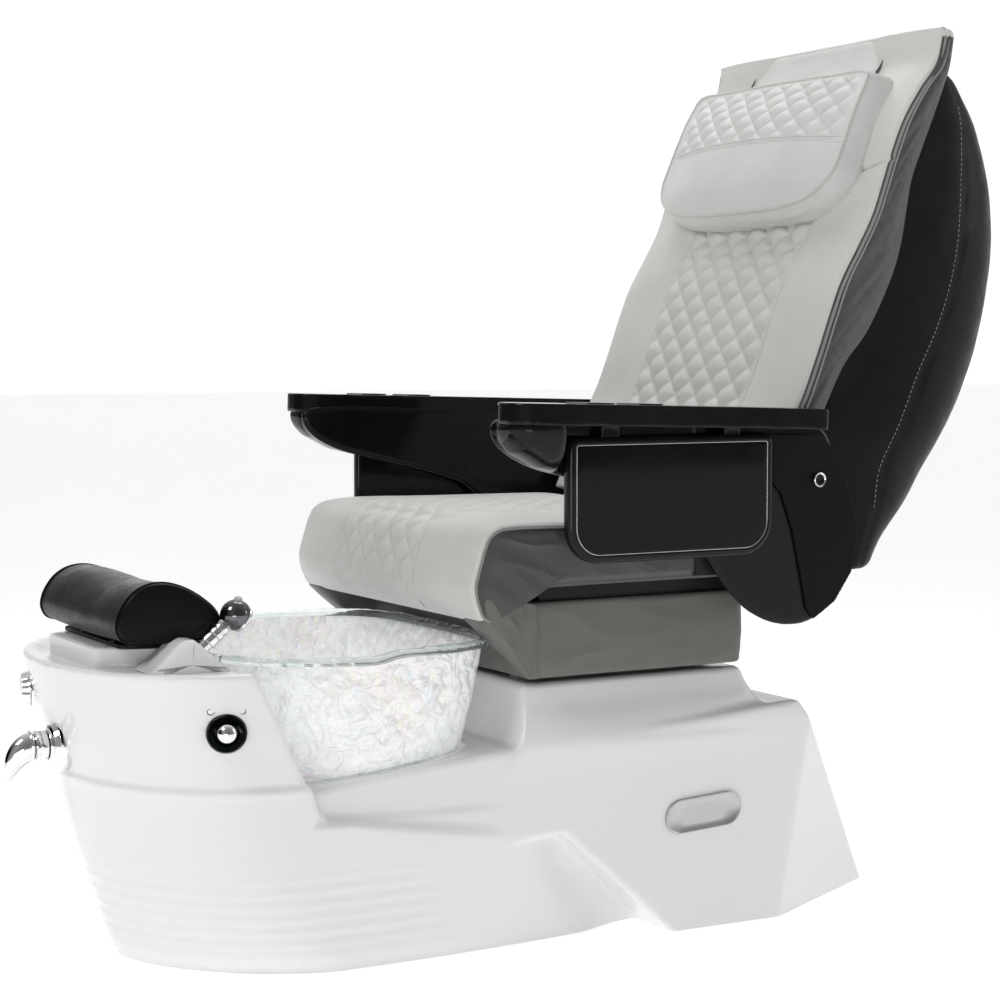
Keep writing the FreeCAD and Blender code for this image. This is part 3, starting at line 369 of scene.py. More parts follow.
def tube(name, path, radius, material, sides=10, closed=False):
    """Round cord along a path; radius may vary along it."""
    path = np.array(path, float)
    n = len(path)
    radii = np.broadcast_to(np.array(radius, float), (n,))
    ahead = np.roll(path, -1, 0) if closed else np.vstack([path[1:], 2 * path[-1:] - path[-2:-1]])
    behind = np.roll(path, 1, 0) if closed else np.vstack([2 * path[:1] - path[1:2], path[:-1]])
    tangent = ahead - behind
    tangent /= np.linalg.norm(tangent, axis=1)[:, None] + 1e-12
    up = np.array([0.3, 0.2, 0.93])
    side = np.cross(tangent[0], up)
    side /= np.linalg.norm(side)
    rings = []
    for k in range(n):
        side = side - tangent[k] * np.dot(side, tangent[k])
        side /= np.linalg.norm(side) + 1e-12
        other = np.cross(tangent[k], side)
        angles = np.linspace(0, 2 * math.pi, sides, endpoint=False)
        rings.append(path[k] + radii[k] * (np.cos(angles)[:, None] * side + np.sin(angles)[:,
                                                                                           None] * other))
    if closed:
        verts = np.array(rings).reshape(-1, 3)
        return fix_normals(make(name, verts, grid_faces(n, sides, True, True), material))
    return loft(name, rings, material)


def stitches(name, paths, material, pitch=0.0055, length=0.0036, radius=0.00055):
    """Short thread dashes along each path."""
    verts, faces = [], []
    for path in paths:
        path = np.array(path, float)
        total = np.linalg.norm(np.diff(path, axis=0), axis=1).sum()
        count = max(1, int(total / pitch))
        line = resample(path, count * 8 + 1)
        for k in range(count):
            a, b = line[k * 8], line[min(k * 8 + int(8 * length / pitch), len(line) - 1)]
            along = b - a
            size = np.linalg.norm(along)
            if size < 1e-6:
                continue
            along /= size
            side = np.cross(along, [0.31, 0.17, 0.94])
            side /= np.linalg.norm(side) + 1e-12
            other = np.cross(along, side)
            base = len(verts)
            for t, r in ((0, 0.45), (0.25, 1), (0.75, 1), (1, 0.45)):
                for s in range(5):
                    w = 2 * math.pi * s / 5
                    verts.append(a + (b - a) * t + radius * r * (math.cos(w) * side + math.sin(w) * other))
            for i in range(3):
                for s in range(5):
                    faces.append((base + i * 5 + s, base + i * 5 + (s + 1) % 5,
                                  base + (i + 1) * 5 + (s + 1) % 5, base + (i + 1) * 5 + s))
            faces.append(tuple(base + s for s in range(4, -1, -1)))
            faces.append(tuple(base + 15 + s for s in range(5)))
    return make(name, verts, faces, material)


# ------------------------------------------------------------------ materials

class Shader:
    """Small helper that builds one node material."""

    def __init__(self, name, **values):
        self.mat = bpy.data.materials.new(name)
        self.mat.use_nodes = True
        self.tree = self.mat.node_tree
        self.bsdf = self.tree.nodes["Principled BSDF"]
        for key, value in values.items():
            self.bsdf.inputs[key.replace("_", " ")].default_value = value

    def node(self, kind, inputs=None, **settings):
        item = self.tree.nodes.new(kind)
        for key, value in settings.items():
            setattr(item, key, value)
        for key, value in (inputs or {}).items():
            if isinstance(value, bpy.types.NodeSocket):
                self.tree.links.new(value, item.inputs[key])
            else:
                item.inputs[key].default_value = value
        return item

    def place(self, scale=(1, 1, 1)):
        where = self.node("ShaderNodeTexCoord")
        return self.node("ShaderNodeMapping",
                         {"Vector": where.outputs["Object"], "Scale": scale}).outputs[0]

    def noise(self, scale, detail=3.0, vector=None, rough=0.5, distortion=0.0):
        inputs = {"Scale": scale, "Detail": detail, "Roughness": rough, "Distortion": distortion}
        inputs["Vector"] = vector or self.place()
        return self.node("ShaderNodeTexNoise", inputs).outputs["Fac"]

    def cells(self, scale, vector=None, feature="DISTANCE_TO_EDGE"):
        return self.node("ShaderNodeTexVoronoi", {"Scale": scale, "Vector": vector or self.place()},
                         feature=feature).outputs["Distance"]

    def math(self, how, a, b):
        item = self.node("ShaderNodeMath", operation=how)
        for index, value in enumerate((a, b)):
            if isinstance(value, bpy.types.NodeSocket):
                self.tree.links.new(value, item.inputs[index])
            else:
                item.inputs[index].default_value = value
        return item.outputs[0]

    def spread(self, value, low, high, to_low=0.0, to_high=1.0):
        return self.node("ShaderNodeMapRange", {"Value": value, "From Min": low, "From Max": high,
                                                "To Min": to_low, "To Max": to_high}).outputs[0]

    def ramp(self, value, stops):
        item = self.node("ShaderNodeValToRGB", {"Fac": value})
        while len(item.color_ramp.elements) < len(stops):
            item.color_ramp.elements.new(0.5)
        for element, (where, color) in zip(item.color_ramp.elements, stops):
            element.position = where
            element.color = (*color, 1)
        return item.outputs["Color"]

    def mix(self, fac, a, b):
        item = self.node("ShaderNodeMix", data_type="RGBA")
        for key, value in ((0, fac), (6, a), (7, b)):
            if isinstance(value, bpy.types.NodeSocket):
                self.tree.links.new(value, item.inputs[key])
            else:
                item.inputs[key].default_value = (*value, 1) if isinstance(value, tuple) else value
        return item.outputs[2]

    def link(self, socket, name):
        self.tree.links.new(socket, self.bsdf.inputs[name])

    def bump(self, height, distance, strength):
        inputs = {"Height": height, "Distance": distance, "Strength": strength}
        return self.node("ShaderNodeBump", inputs).outputs[0]


def leather(name, color, roughness, grain=420.0, depth=0.00016, tone=0.07, shine=0.5):
    """Fine-grained coated leather: cell creases, pores, broad tone changes and rubbed patches."""
    s = Shader(name, IOR=1.46, Specular_IOR_Level=shine)
    warp = s.noise(38.0, 2.0)
    cells = s.cells(grain)
    crease = s.spread(cells, 0.0, 0.16)
    pores = s.noise(grain * 3.2, 3.0)
    broad = s.noise(4.5, 3.0, rough=0.6)
    dark = tuple(c * (1 - tone) for c in color)
    light = tuple(min(1.0, c * (1 + tone)) for c in color)
    base = s.mix(s.spread(broad, 0.32, 0.68), dark, light)
    in_grain = s.mix(s.spread(crease, 0.0, 1.0, 0.22, 0.0), base, tuple(c * 0.55 for c in color))
    s.link(in_grain, "Base Color")
    rough = s.math("ADD", s.spread(warp, 0.3, 0.7, roughness - 0.06, roughness + 0.07),
                   s.spread(crease, 0.0, 1.0, 0.08, 0.0))
    s.link(rough, "Roughness")
    height = s.math("ADD", s.math("MULTIPLY", crease, 0.8), s.math("MULTIPLY", pores, 0.35))
    s.link(s.bump(height, depth, 0.8), "Normal")
    return s.mat


def acrylic(name, color, roughness=0.16):
    """Glossy moulded gel coat with a faint waviness and dust-fine roughness."""
    s = Shader(name, IOR=1.45, Specular_IOR_Level=0.36, Coat_Weight=0.2, Coat_Roughness=0.04)
    broad = s.noise(2.2, 2.0)
    base = s.mix(s.spread(broad, 0.3, 0.7), tuple(c * 0.985 for c in color), color)
    s.link(base, "Base Color")
    fine = s.noise(60.0, 4.0)
    s.link(s.spread(fine, 0.3, 0.7, roughness - 0.03, roughness + 0.05), "Roughness")
    wave = s.noise(9.0, 1.0)
    s.link(s.bump(wave, 0.0006, 0.35), "Normal")
    return s.mat


def metal(name, color, roughness, smear=0.02, brushed=None):
    s = Shader(name, Metallic=1.0)
    place = s.place(brushed) if brushed else s.place()
    fine = s.noise(320.0 if brushed else 46.0, 4.0, vector=place)
    s.link(s.mix(s.spread(fine, 0.3, 0.7), tuple(c * 0.93 for c in color), color), "Base Color")
    s.link(s.spread(fine, 0.25, 0.75, max(0.01, roughness - smear), roughness + smear), "Roughness")
    s.link(s.bump(fine, 0.00006 if brushed else 0.00003, 0.35), "Normal")
    return s.mat


def gloss_black(name, color=(0.006, 0.006, 0.0065), roughness=0.07):
    """Piano-black moulding with light handling marks."""
    s = Shader(name, IOR=1.45, Specular_IOR_Level=0.16, Coat_Weight=0.12, Coat_Roughness=0.03)
    rub = s.noise(14.0, 5.0, rough=0.65)
    fine = s.noise(240.0, 2.0, vector=s.place((1, 9, 1)))
    s.link(s.mix(s.spread(rub, 0.35, 0.75), color, tuple(c * 1.7 for c in color)), "Base Color")
    total = s.math("ADD", s.spread(rub, 0.35, 0.8, roughness, roughness + 0.07),
                   s.spread(fine, 0.55, 0.8, 0.0, 0.04))
    s.link(total, "Roughness")
    s.link(s.bump(s.noise(12.0, 1.0), 0.0003, 0.25), "Normal")
    return s.mat


def plastic(name, color, roughness=0.5, grain=900.0, depth=0.00012, shine=0.5):
    """Spark-eroded moulded plastic."""
    s = Shader(name, IOR=1.47, Specular_IOR_Level=shine)
    fine = s.noise(grain, 4.0, rough=0.7)
    broad = s.noise(6.0, 3.0)
    s.link(s.mix(s.spread(broad, 0.3, 0.7), tuple(c * 0.82 for c in color), color), "Base Color")
    s.link(s.spread(fine, 0.3, 0.7, roughness - 0.08, roughness + 0.1), "Roughness")
    s.link(s.bump(fine, depth, 0.9), "Normal")
    return s.mat


def hammered_glass(name):
    """Milky hammered glass with pearly tints that drift across its dents, and a faint glow of painted light that
    brightens its shaded inside.
    """
    # The emission is painted light: the glass glows faintly so its shaded inside reads bright.
    s = Shader(name, IOR=1.5, Transmission_Weight=0.3, Specular_IOR_Level=0.7, Coat_Weight=0.4,
               Coat_Roughness=0.03, Emission_Color=(0.96, 0.98, 1, 1), Emission_Strength=0.16)
    swirl = s.noise(30.0, 3.0, distortion=1.2)
    dents = s.cells(58.0, vector=s.place((1, 1, 0.8)), feature="SMOOTH_F1")
    hue = s.noise(24.0, 3.0, distortion=1.5)
    tint = s.ramp(hue, [(0.3, (0.8, 0.9, 0.97)), (0.4, (0.97, 0.97, 0.97)), (0.47, (0.98, 0.86, 0.89)),
                        (0.52, (0.97, 0.97, 0.96)), (0.58, (0.99, 0.95, 0.8)), (0.63, (0.96, 0.96, 0.96)),
                        (0.7, (0.86, 0.88, 0.98)), (0.78, (0.99, 0.9, 0.8))])
    clear = s.noise(11.0, 2.0)
    s.link(s.mix(s.spread(clear, 0.4, 0.62), (0.95, 0.96, 0.96), tint), "Base Color")
    s.link(s.spread(swirl, 0.3, 0.75, 0.05, 0.22), "Roughness")
    height = s.math("ADD", s.math("MULTIPLY", swirl, 0.9), s.math("MULTIPLY", dents, 0.7))
    s.link(s.bump(height, 0.018, 1.0), "Normal")
    return s.mat


def bead_glass(name):
    """The rim's thick edge, greener and smoother than the wall."""
    s = Shader(name, IOR=1.48, Transmission_Weight=0.9)
    swirl = s.noise(30.0, 2.0, distortion=1.0)
    s.link(s.ramp(swirl, [(0.35, (0.78, 0.87, 0.86)), (0.6, (0.93, 0.965, 0.96))]), "Base Color")
    s.link(s.spread(swirl, 0.3, 0.7, 0.02, 0.1), "Roughness")
    s.link(s.bump(swirl, 0.004, 0.8), "Normal")
    return s.mat


def thread(name, color):
    s = Shader(name, IOR=1.45)
    twist = s.noise(2600.0, 2.0)
    s.link(s.mix(s.spread(twist, 0.3, 0.7), tuple(c * 0.7 for c in color), color), "Base Color")
    s.link(s.spread(twist, 0.3, 0.7, 0.55, 0.8), "Roughness")
    return s.mat


M = {
    "white": acrylic("white_acrylic", (0.87, 0.87, 0.865)),
    "leather": leather("leather_light_grey", (0.715, 0.715, 0.69), 0.42),
    # Darker grey side leather, made darker still to paint the shade that falls on the seat's and back's side
    # panels.
    "leather_side": leather("leather_side_dark_painted_shade", (0.082, 0.081, 0.078), 0.48),
    "leather_skirt": leather("leather_skirt", (0.165, 0.162, 0.15), 0.5, grain=330.0),
    "leather_black": leather("leather_black", (0.006, 0.0065, 0.008), 0.34, grain=360.0, depth=0.00006,
                             tone=0.1, shine=0.11),
    "pad_black": leather("leather_black_pad", (0.005, 0.006, 0.0068), 0.27, grain=300.0, depth=0.00008,
                         tone=0.1, shine=0.13),
    "chrome": metal("chrome", (0.86, 0.86, 0.87), 0.035, 0.015),
    "steel": metal("brushed_steel", (0.6, 0.6, 0.61), 0.28, 0.06, brushed=(1, 1, 14)),
    "chrome_dark": metal("chrome_shaded", (0.16, 0.16, 0.17), 0.05, 0.015),
    "grey_clear": plastic("grey_button", (0.5, 0.51, 0.51), 0.25, grain=400.0, depth=0.00003),
    "label": metal("label_plate", (0.8, 0.8, 0.8), 0.42, 0.05),
    "brass": metal("brass", (0.74, 0.56, 0.27), 0.34, 0.08),
    "silver": metal("silver_plate", (0.56, 0.57, 0.56), 0.36, 0.06, brushed=(1, 1, 22)),
    "piano": gloss_black("gloss_black"),
    "panel": gloss_black("dark_glass", (0.0022, 0.0034, 0.0036), 0.035),
    "cover": plastic("textured_black", (0.0055, 0.006, 0.0068), 0.42, grain=620.0, depth=0.0003,
                     shine=0.11),
    "black": plastic("black_plastic", (0.01, 0.01, 0.01), 0.45, shine=0.25),
    "grey": plastic("grey_plastic", (0.42, 0.43, 0.44), 0.45),
    "rubber": plastic("rubber", (0.02, 0.02, 0.02), 0.75, grain=300.0),
    "frame": plastic("powder_coat", (0.02, 0.02, 0.022), 0.42, grain=1400.0, shine=0.25),
    "glass": hammered_glass("hammered_glass"),
    "bead": bead_glass("rim_glass"),
    "thread": thread("thread_light", (0.78, 0.77, 0.75)),
    "thread_grey": thread("thread_grey", (0.36, 0.35, 0.34)),
    "thread_dark": thread("thread_dark", (0.06, 0.06, 0.06)),
    "leather_pillow": leather("leather_pillow", (0.77, 0.765, 0.75), 0.42),
    "leather_welt_light": leather("leather_welt_light", (0.68, 0.675, 0.655), 0.42, grain=900.0),
    "leather_welt": leather("leather_welt", (0.3, 0.295, 0.285), 0.42, grain=900.0),
    "piping": leather("leather_piping", (0.09, 0.088, 0.085), 0.42, grain=800.0),
}

CAD_LOOKS = {
    "base_frame": "frame", "rear_access_panel": "white", "control_box": "grey", "levelling_feet": "rubber",
    "drain_flange": "chrome", "drain_pipe": "grey", "drain_stopper": "chrome", "jet_cover": "white",
    "jet_impeller": "grey", "jet_motor": "grey", "mixer_valve_body": "brass", "diverter_valve": "brass",
    "footrest_plinth": "white", "footrest_post": "steel", "footrest_plate": "black",
    "slide_rails": "steel", "slide_actuator": "black", "slide_actuator_rod": "steel",
    "seat_frame": "frame", "seat_pan": "black", "back_frame": "frame", "massage_rails": "steel",
    "massage_carriage": "black", "massage_rollers": "grey", "recline_motor": "black",
    "drain_knob_ring": "panel", "tray_pins_left": "steel", "tray_pins_right": "steel",
}
for node_name, look in CAD_LOOKS.items():
    coat(frame["nodes"][node_name].data, M[look])


# ------------------------------------------------------------------ moulded base

def nose_ring(z, count=96):
    """Half outline of the tub's nose at height z: front tip, round the side, back along the flank."""
    tip = through(z, [0, 0.12, 0.296, 0.4, 0.464], [-0.664, -0.704, -0.7465, -0.776, -0.7925])
    wide = through(z, [0, 0.1, 0.2, 0.296, 0.4, 0.464], [0.2465, 0.262, 0.276, 0.288, 0.303, 0.3135])
    centre = through(z, [0, 0.1, 0.296, 0.464], [-0.4, -0.45, -0.496, -0.5325])
    power = through(z, [0, 0.1, 0.25, 0.464], [1.62, 1.85, 2.0, 2.1])
    rear_y = 0.025 - 0.787 * z - 0.02 * math.sin(math.pi * min(1, z / 0.183))
    rear_x = through(z, [0, 0.1, 0.183, 0.296, 0.464], [0.232, 0.262, 0.284, 0.291, 0.3])
    notch_y = max(rear_y + 0.02, 0.098 - 0.95 * z)
    notch_x = through(z, [0, 0.1, 0.175, 0.25], [0.204, 0.236, 0.268, 0.285])
    points = []
    for a in np.linspace(0, math.pi / 2, 40):
        points.append((wide * math.sin(a) ** (2 / power),
                       centre + (tip - centre) * math.cos(a) ** (2 / power)))
    reach = rear_y - centre
    guide = [(wide, centre)]
    for t in (0.3, 0.6, 0.85):
        guide.append((wide + (rear_x - wide) * t ** 1.6 + 0.005 * math.sin(math.pi * t),
                      centre + reach * t))
    guide += [(rear_x - 0.002, rear_y), (notch_x, notch_y), (notch_x - 0.01, notch_y + 0.06)]
    points += [tuple(p) for p in spline(guide, 40)[1:]]
    return resample(np.array(points), count)


def nose_solid():
    rings = []
    levels = [-0.02] + list(np.linspace(0, 0.464, 60))
    for z in levels:
        half = nose_ring(max(z, 0.0))
        left = half[::-1] * np.array([-1, 1])
        ring = np.vstack([half, left[:-1]])
        rings.append([(x, y, z) for x, y in ring])
    body = loft("nose", rings, None)
    ledge = prism([(-0.451, 0.238), (-0.5665, 0.461), (-0.62, 0.6), (0.3, 0.6), (0.3, 0.1137)], -0.5, 0.5)
    return boolean(body, ledge)


def deck_solid():
    top = [(-0.47, 0.279), (-0.385, 0.291), (-0.25, 0.305), (-0.142, 0.3145), (-0.056, 0.321),
           (0.194, 0.3375), (0.3, 0.347), (0.392, 0.353), (0.414, 0.323)]
    outline = top + [(0.652, -0.02), (0.158, -0.02), (0.143, 0.0), (-0.048, 0.175), (-0.44, 0.15)]
    slab = prism(outline, -0.4, 0.4, "deck")
    verts = []
    for z in (-0.05, 0.5):
        corner_x, corner_y = 0.308 - 0.0154 * z, 0.347 + 0.2006 * z
        plan = [(0.267, -0.48), (0.27, -0.35), (0.279, -0.2), (0.289, -0.08), (0.302, 0.12),
                (corner_x, corner_y), (corner_x - 0.158, corner_y + 0.305)]
        full = plan + [(-x, y) for x, y in reversed(plan)]
        verts += [(x, y, z) for x, y in full]
    n = len(full)
    faces = [tuple(range(n)), tuple(range(2 * n - 1, n - 1, -1))]
    faces += [(i, (i + 1) % n, n + (i + 1) % n, n + i) for i in range(n)]
    cutter = fix_normals(make("plan", verts, faces, None, False))
    return boolean(slab, cutter, "INTERSECT")


def stand_solid():
    """Raised seat stand: sloping sides that run out into the deck's edge."""
    rings = []
    for z in np.linspace(0.27, 0.408, 24):
        half = float(through(z, [0.27, 0.325, 0.345, 0.375, 0.408], [0.3, 0.2985, 0.287, 0.266, 0.252]))
        ease = float(smoothstep(0.27, 0.408, z))
        front = -0.15 + 0.048 * ease ** 0.6
        rear = 0.372 - 0.062 * ease
        front_half = half - 0.014 * (1 - ease)
        rings.append([(x, y, z) for x, y in
                      ((-front_half, front), (front_half, front), (half + 0.002, 0.12), (half, rear),
                       (-half, rear), (-half - 0.002, 0.12))])
    return loft("stand", rings, None)


def basin_ring(z, grow=0.0, count=220):
    """Outline of the glass basin at height z."""
    half = through(z, [0.2, 0.29, 0.38, 0.47], [0.205, 0.252, 0.262, 0.27]) + grow
    front = through(z, [0.2, 0.29, 0.47], [-0.475, -0.515, -0.555]) - grow
    rear = through(z, [0.2, 0.29, 0.47], [-0.205, -0.168, -0.118]) + grow
    mid, length = (front + rear) / 2, (rear - front) / 2
    ring = []
    for a in np.linspace(0, 2 * math.pi, 720, endpoint=False):
        c, s = math.cos(a), math.sin(a)
        across = math.copysign(abs(c) ** 0.44, c)
        along = math.copysign(abs(s) ** 0.44, s)
        side = through(along, [-1, -0.75, -0.1, 0.25, 1], [0.775, 0.84, 1.0, 0.985, 0.905])
        ring.append((half * across * side, mid + length * along))
    return resample(np.array(ring), count, closed=True)


def basin_tool(grow, low, high):
    rings = []
    for z in np.linspace(low, high, 14):
        rings.append([(x, y, z) for x, y in basin_ring(min(max(z, 0.2), 0.47), grow, 96)])
    return loft("basin_tool", rings, None)


def make_base():
    body = nose_solid()
    for part in (deck_solid(), stand_solid()):
        boolean(body, part, "UNION")
    boolean(body, basin_tool(0.006, 0.194, 0.6))
    top = []
    for inset, z in ((0.03, 0.4585), (0.014, 0.47)):
        half = nose_ring(0.464)
        loop = np.vstack([half, half[::-1][:-1] * np.array([-1, 1])])
        loop = loop - normals_2d(loop) * inset
        top.append([(x, y, z) for x, y in resample(loop, 160, closed=True)])
    boolean(body, loft("rim_tool", top, None))
    soften(body, 0.0045, 0.012, 14)
    mesh = bmesh.new()
    mesh.from_mesh(body.data)
    bmesh.ops.bisect_plane(mesh, geom=mesh.verts[:] + mesh.edges[:] + mesh.faces[:],
                           plane_co=(0, 0, 0.0), plane_no=(0, 0, -1), clear_outer=True)
    mesh.to_mesh(body.data)
    mesh.free()
    co = coords(body)
    y, z = co[:, 1], co[:, 2]
    low = smoothstep(0.02, 0.05, z) * (1 - smoothstep(0.13, 0.19, z)) * (1 - smoothstep(-0.35, -0.15, y))
    ribs = 0.0005 * np.sin(z / 0.021 * 2 * math.pi) * low
    nose = 1 - smoothstep(-0.474, -0.462, y)
    flank = (1 - smoothstep(-0.25, -0.12, y)) * (1 - smoothstep(0.225, 0.235, z))
    shoulder = 0.0042 * (1 - smoothstep(0.2865, 0.2965, z)) + 0.0014 * np.exp(-((z - 0.284) / 0.006) ** 2)
    push = shoulder * np.maximum(nose, flank) * smoothstep(0.0, 0.03, z)
    sideways = vertex_normals(body)
    sideways[:, 2] *= 0.1
    set_coords(body, co + sideways * (ribs + push)[:, None])
    coat(body.data, M["white"])
    body.name = "tub_moulding"
    modify(body, "SOLIDIFY", thickness=0.005, offset=-1)
    return dress(body, "base", "base_shell")


make_base()


# ------------------------------------------------------------------ basin

def rim_height(y):
    """The rear part of the rim stands a little higher, with a soft step."""
    return 0.4655 + 0.008 * smoothstep(-0.365, -0.315, y)


def make_bowl():
    """Hammered glass wall: outer and inner faces, closed at the bottom, with a wavy rim bead."""
    def face(grow, bottom, rows, count):
        rings = []
        for t in np.linspace(0, 1, rows):
            ring = basin_ring(bottom + (0.456 - bottom) * t, grow, count)
            z = bottom + (rim_height(ring[:, 1]) - 0.006 - bottom) * t
            rings.append(np.column_stack([ring, z]))
        return rings

    count = 260
    outer = face(0.0, 0.206, 54, count)
    inner = face(-0.008, 0.214, 54, count)
    rings = []
    for share in (0.02, 0.35, 0.7, 0.94):
        centre = outer[0].mean(0)
        rings.append(centre + (outer[0] - centre) * share)
    rings += outer + inner[::-1]
    for share in (0.94, 0.7, 0.35, 0.02):
        centre = inner[0].mean(0)
        rings.append(centre + (inner[0] - centre) * share)
    bowl = loft("basin_glass", rings, M["glass"])
    co = coords(bowl)
    push = np.zeros(len(co))
    for index, point in enumerate(co):
        p = Vector(point)
        push[index] = (noise.noise(p * 20 + Vector((noise.noise(p * 9) * 1.6, 0, 0))) * 0.003
                       + noise.noise(p * 46) * 0.0012)
    fade = smoothstep(0.215, 0.25, co[:, 2]) * (1 - smoothstep(0.44, 0.458, co[:, 2]))
    set_coords(bowl, co + vertex_normals(bowl) * (push * fade)[:, None])
    dress(bowl, "base", "glass_bowl")

    line = basin_ring(0.462, 0.003, 420)
    path = np.column_stack([line, rim_height(line[:, 1]) - 0.001])
    section = []
    for a in np.linspace(0, 2 * math.pi, 16, endpoint=False):
        section.append((0.0085 * math.copysign(abs(math.cos(a)) ** 0.7, math.cos(a)),
                        0.0065 * math.copysign(abs(math.sin(a)) ** 0.7, math.sin(a))))
    outward = normals_2d(line)
    verts = []
    for k, point in enumerate(path):
        p = Vector(point)
        wave = 1 + 0.16 * noise.noise(p * 60) + 0.1 * noise.noise(p * 140)
        for across, up in section:
            lift = up * wave + (0.0012 * noise.noise(p * 90) if up > 0 else 0)
            verts.append((point[0] + outward[k][0] * across * wave,
                          point[1] + outward[k][1] * across * wave,
                          point[2] + lift))
    bead = fix_normals(make("basin_rim_bead", verts, grid_faces(len(path), 16, True, True), M["bead"]))
    dress(bead, "base")

    line = basin_ring(0.3, 0.0015, 300)
    deck_z = np.interp(line[:, 1], [-0.47, -0.385, -0.25, -0.142, 0], [0.279, 0.291, 0.305, 0.3145, 0.326])
    gasket = tube("basin_seal", np.column_stack([line, deck_z + 0.001]), 0.0022, M["bead"], closed=True)
    dress(gasket, "base")


make_bowl()


# ------------------------------------------------------------------ fittings on the nose

def make_fittings():
    """Drain knob with its arc label, faucet and diverter."""
    axis = Vector((math.cos(math.radians(20)), -math.sin(math.radians(20)), 0.12)).normalized()
    wall = Vector((math.cos(math.radians(20)), -math.sin(math.radians(20)), -0.11)).normalized()
    centre = Vector((0.2825, -0.604, 0.379))
    ring = lathe("drain_ring", [(0.0052, 0.001), (0.0145, 0.0012), (0.0175, 0.0015), (0.0215, 0.0035),
                                (0.0262, 0.0062), (0.0282, 0.0058), (0.0292, 0.0035), (0.0296, -0.002)],
                 centre, wall, M["panel"], 96)
    dress(ring, "base")
    dish = lathe("drain_dish", [(0.014, 0.0022), (0.0185, 0.0026), (0.0235, 0.005), (0.0262, 0.0072),
                                (0.0272, 0.0068)],
                 centre, wall, M["panel"], 96)
    dress(dish, "base")
    ball = lathe("drain_knob_ball", [(0, 0.0255), (0.004, 0.0252), (0.0075, 0.024), (0.0105, 0.022),
                                     (0.0128, 0.0192),
                                     (0.0141, 0.016), (0.0144, 0.013), (0.0136, 0.0098), (0.0112, 0.0068),
                                     (0.0075, 0.0048), (0.005, 0.004), (0.005, -0.02), (0, -0.02)],
                 centre, axis, M["chrome"], 96)
    dress(ball, "drain_knob", "drain_knob")

    side = wall.cross(Vector((0, 0, 1))).normalized()
    up = side.cross(wall).normalized()
    outline, faces = [], []
    steps = 40
    for k in range(steps + 1):
        angle = math.radians(132 - 84 * k / steps)
        ends = min(k, steps - k) / 3.0
        half = 0.0046 * math.sqrt(max(0.0, 1 - (1 - min(1, ends)) ** 2)) + 0.0002
        outline.append((angle, half))
    verts = []
    for level, shrink in ((0.0005, 1.0), (0.0022, 1.0), (0.0027, 0.86)):
        for angle, half in outline:
            for sign in (-1, 1):
                r = 0.0395 + sign * half * shrink
                verts.append(centre + (side * -math.cos(angle) + up * math.sin(angle)) * r + wall * level)
    row = 2 * (steps + 1)
    for level in range(2):
        for k in range(steps):
            a = level * row + 2 * k
            faces.append((a, a + 2, a + 2 + row, a + row))
            faces.append((a + 1, a + 1 + row, a + 3 + row, a + 3))
    for k in range(steps):
        a = 2 * row + 2 * k
        faces.append((a, a + 1, a + 3, a + 2))
    label = fix_normals(make("drain_label", verts, faces, M["label"]))
    dress(label, "base", "drain_label_plate")
    top = verts[2 * row:]
    rim = top[0::2] + top[1::2][::-1]
    edge = tube("drain_label_edge", rim, 0.0005, M["thread_dark"], 6, closed=True)
    dress(edge, "base")

    front = (0, -1, 0)
    mid = (0, -0.759, 0.332)
    plate = [(0.0162, -0.014), (0.0395, -0.014), (0.0412, 0.000), (0.0408, 0.003), (0.0385, 0.0052),
             (0.035, 0.0064),
             (0.0322, 0.0105), (0.0306, 0.013), (0.028, 0.0142), (0.0262, 0.015), (0.0258, 0.0172),
             (0.0246, 0.0186), (0.0162, 0.019)]
    dress(lathe("faucet_plate", plate, mid, front, M["chrome"], 96), "base", "faucet_escutcheon")
    cap = [(0, -0.0058), (0.016, -0.0058), (0.016, 0.019), (0.0215, 0.0196), (0.0232, 0.0206),
           (0.0236, 0.025),
           (0.0236, 0.029), (0.0226, 0.03), (0.0226, 0.0308), (0.0238, 0.032), (0.0242, 0.035),
           (0.0236, 0.0372),
           (0.021, 0.0378), (0, 0.038)]
    dress(lathe("faucet_body", cap, mid, front, M["chrome"], 96), "faucet", "faucet_cap")
    spine = [(-0.7972, 0.332, 0.02, 0.02), (-0.7985, 0.332, 0.0232, 0.0232),
             (-0.803, 0.3318, 0.0242, 0.024),
             (-0.8095, 0.33, 0.0238, 0.0232), (-0.817, 0.3258, 0.0222, 0.0212),
             (-0.8245, 0.319, 0.0196, 0.0182),
             (-0.831, 0.31, 0.016, 0.0146), (-0.8355, 0.3005, 0.012, 0.0106),
             (-0.8385, 0.292, 0.0082, 0.007),
             (-0.8402, 0.2855, 0.0046, 0.0038), (-0.8408, 0.2825, 0.0016, 0.0014)]
    lean = [90, 90, 88, 80, 66, 52, 38, 28, 20, 14, 12]
    spine = [(-0.7972 + (y + 0.7972) * 0.9, z, high * 0.94, wide * 0.72) for y, z, high, wide in spine]
    dense = spline([a + (b,) for a, b in zip(spine, lean)], 64)
    rings = []
    for y, z, high, wide, turn in dense:
        turn = math.radians(turn)
        up_y, up_z = -math.cos(turn), math.sin(turn)
        ring = []
        for a in np.linspace(0, 2 * math.pi, 36, endpoint=False):
            along = high * math.sin(a)
            ring.append((wide * math.cos(a), y + up_y * along, z + up_z * along))
        rings.append(ring)
    dress(loft("faucet_handle", rings, M["chrome"]), "faucet_lever", "faucet_lever")

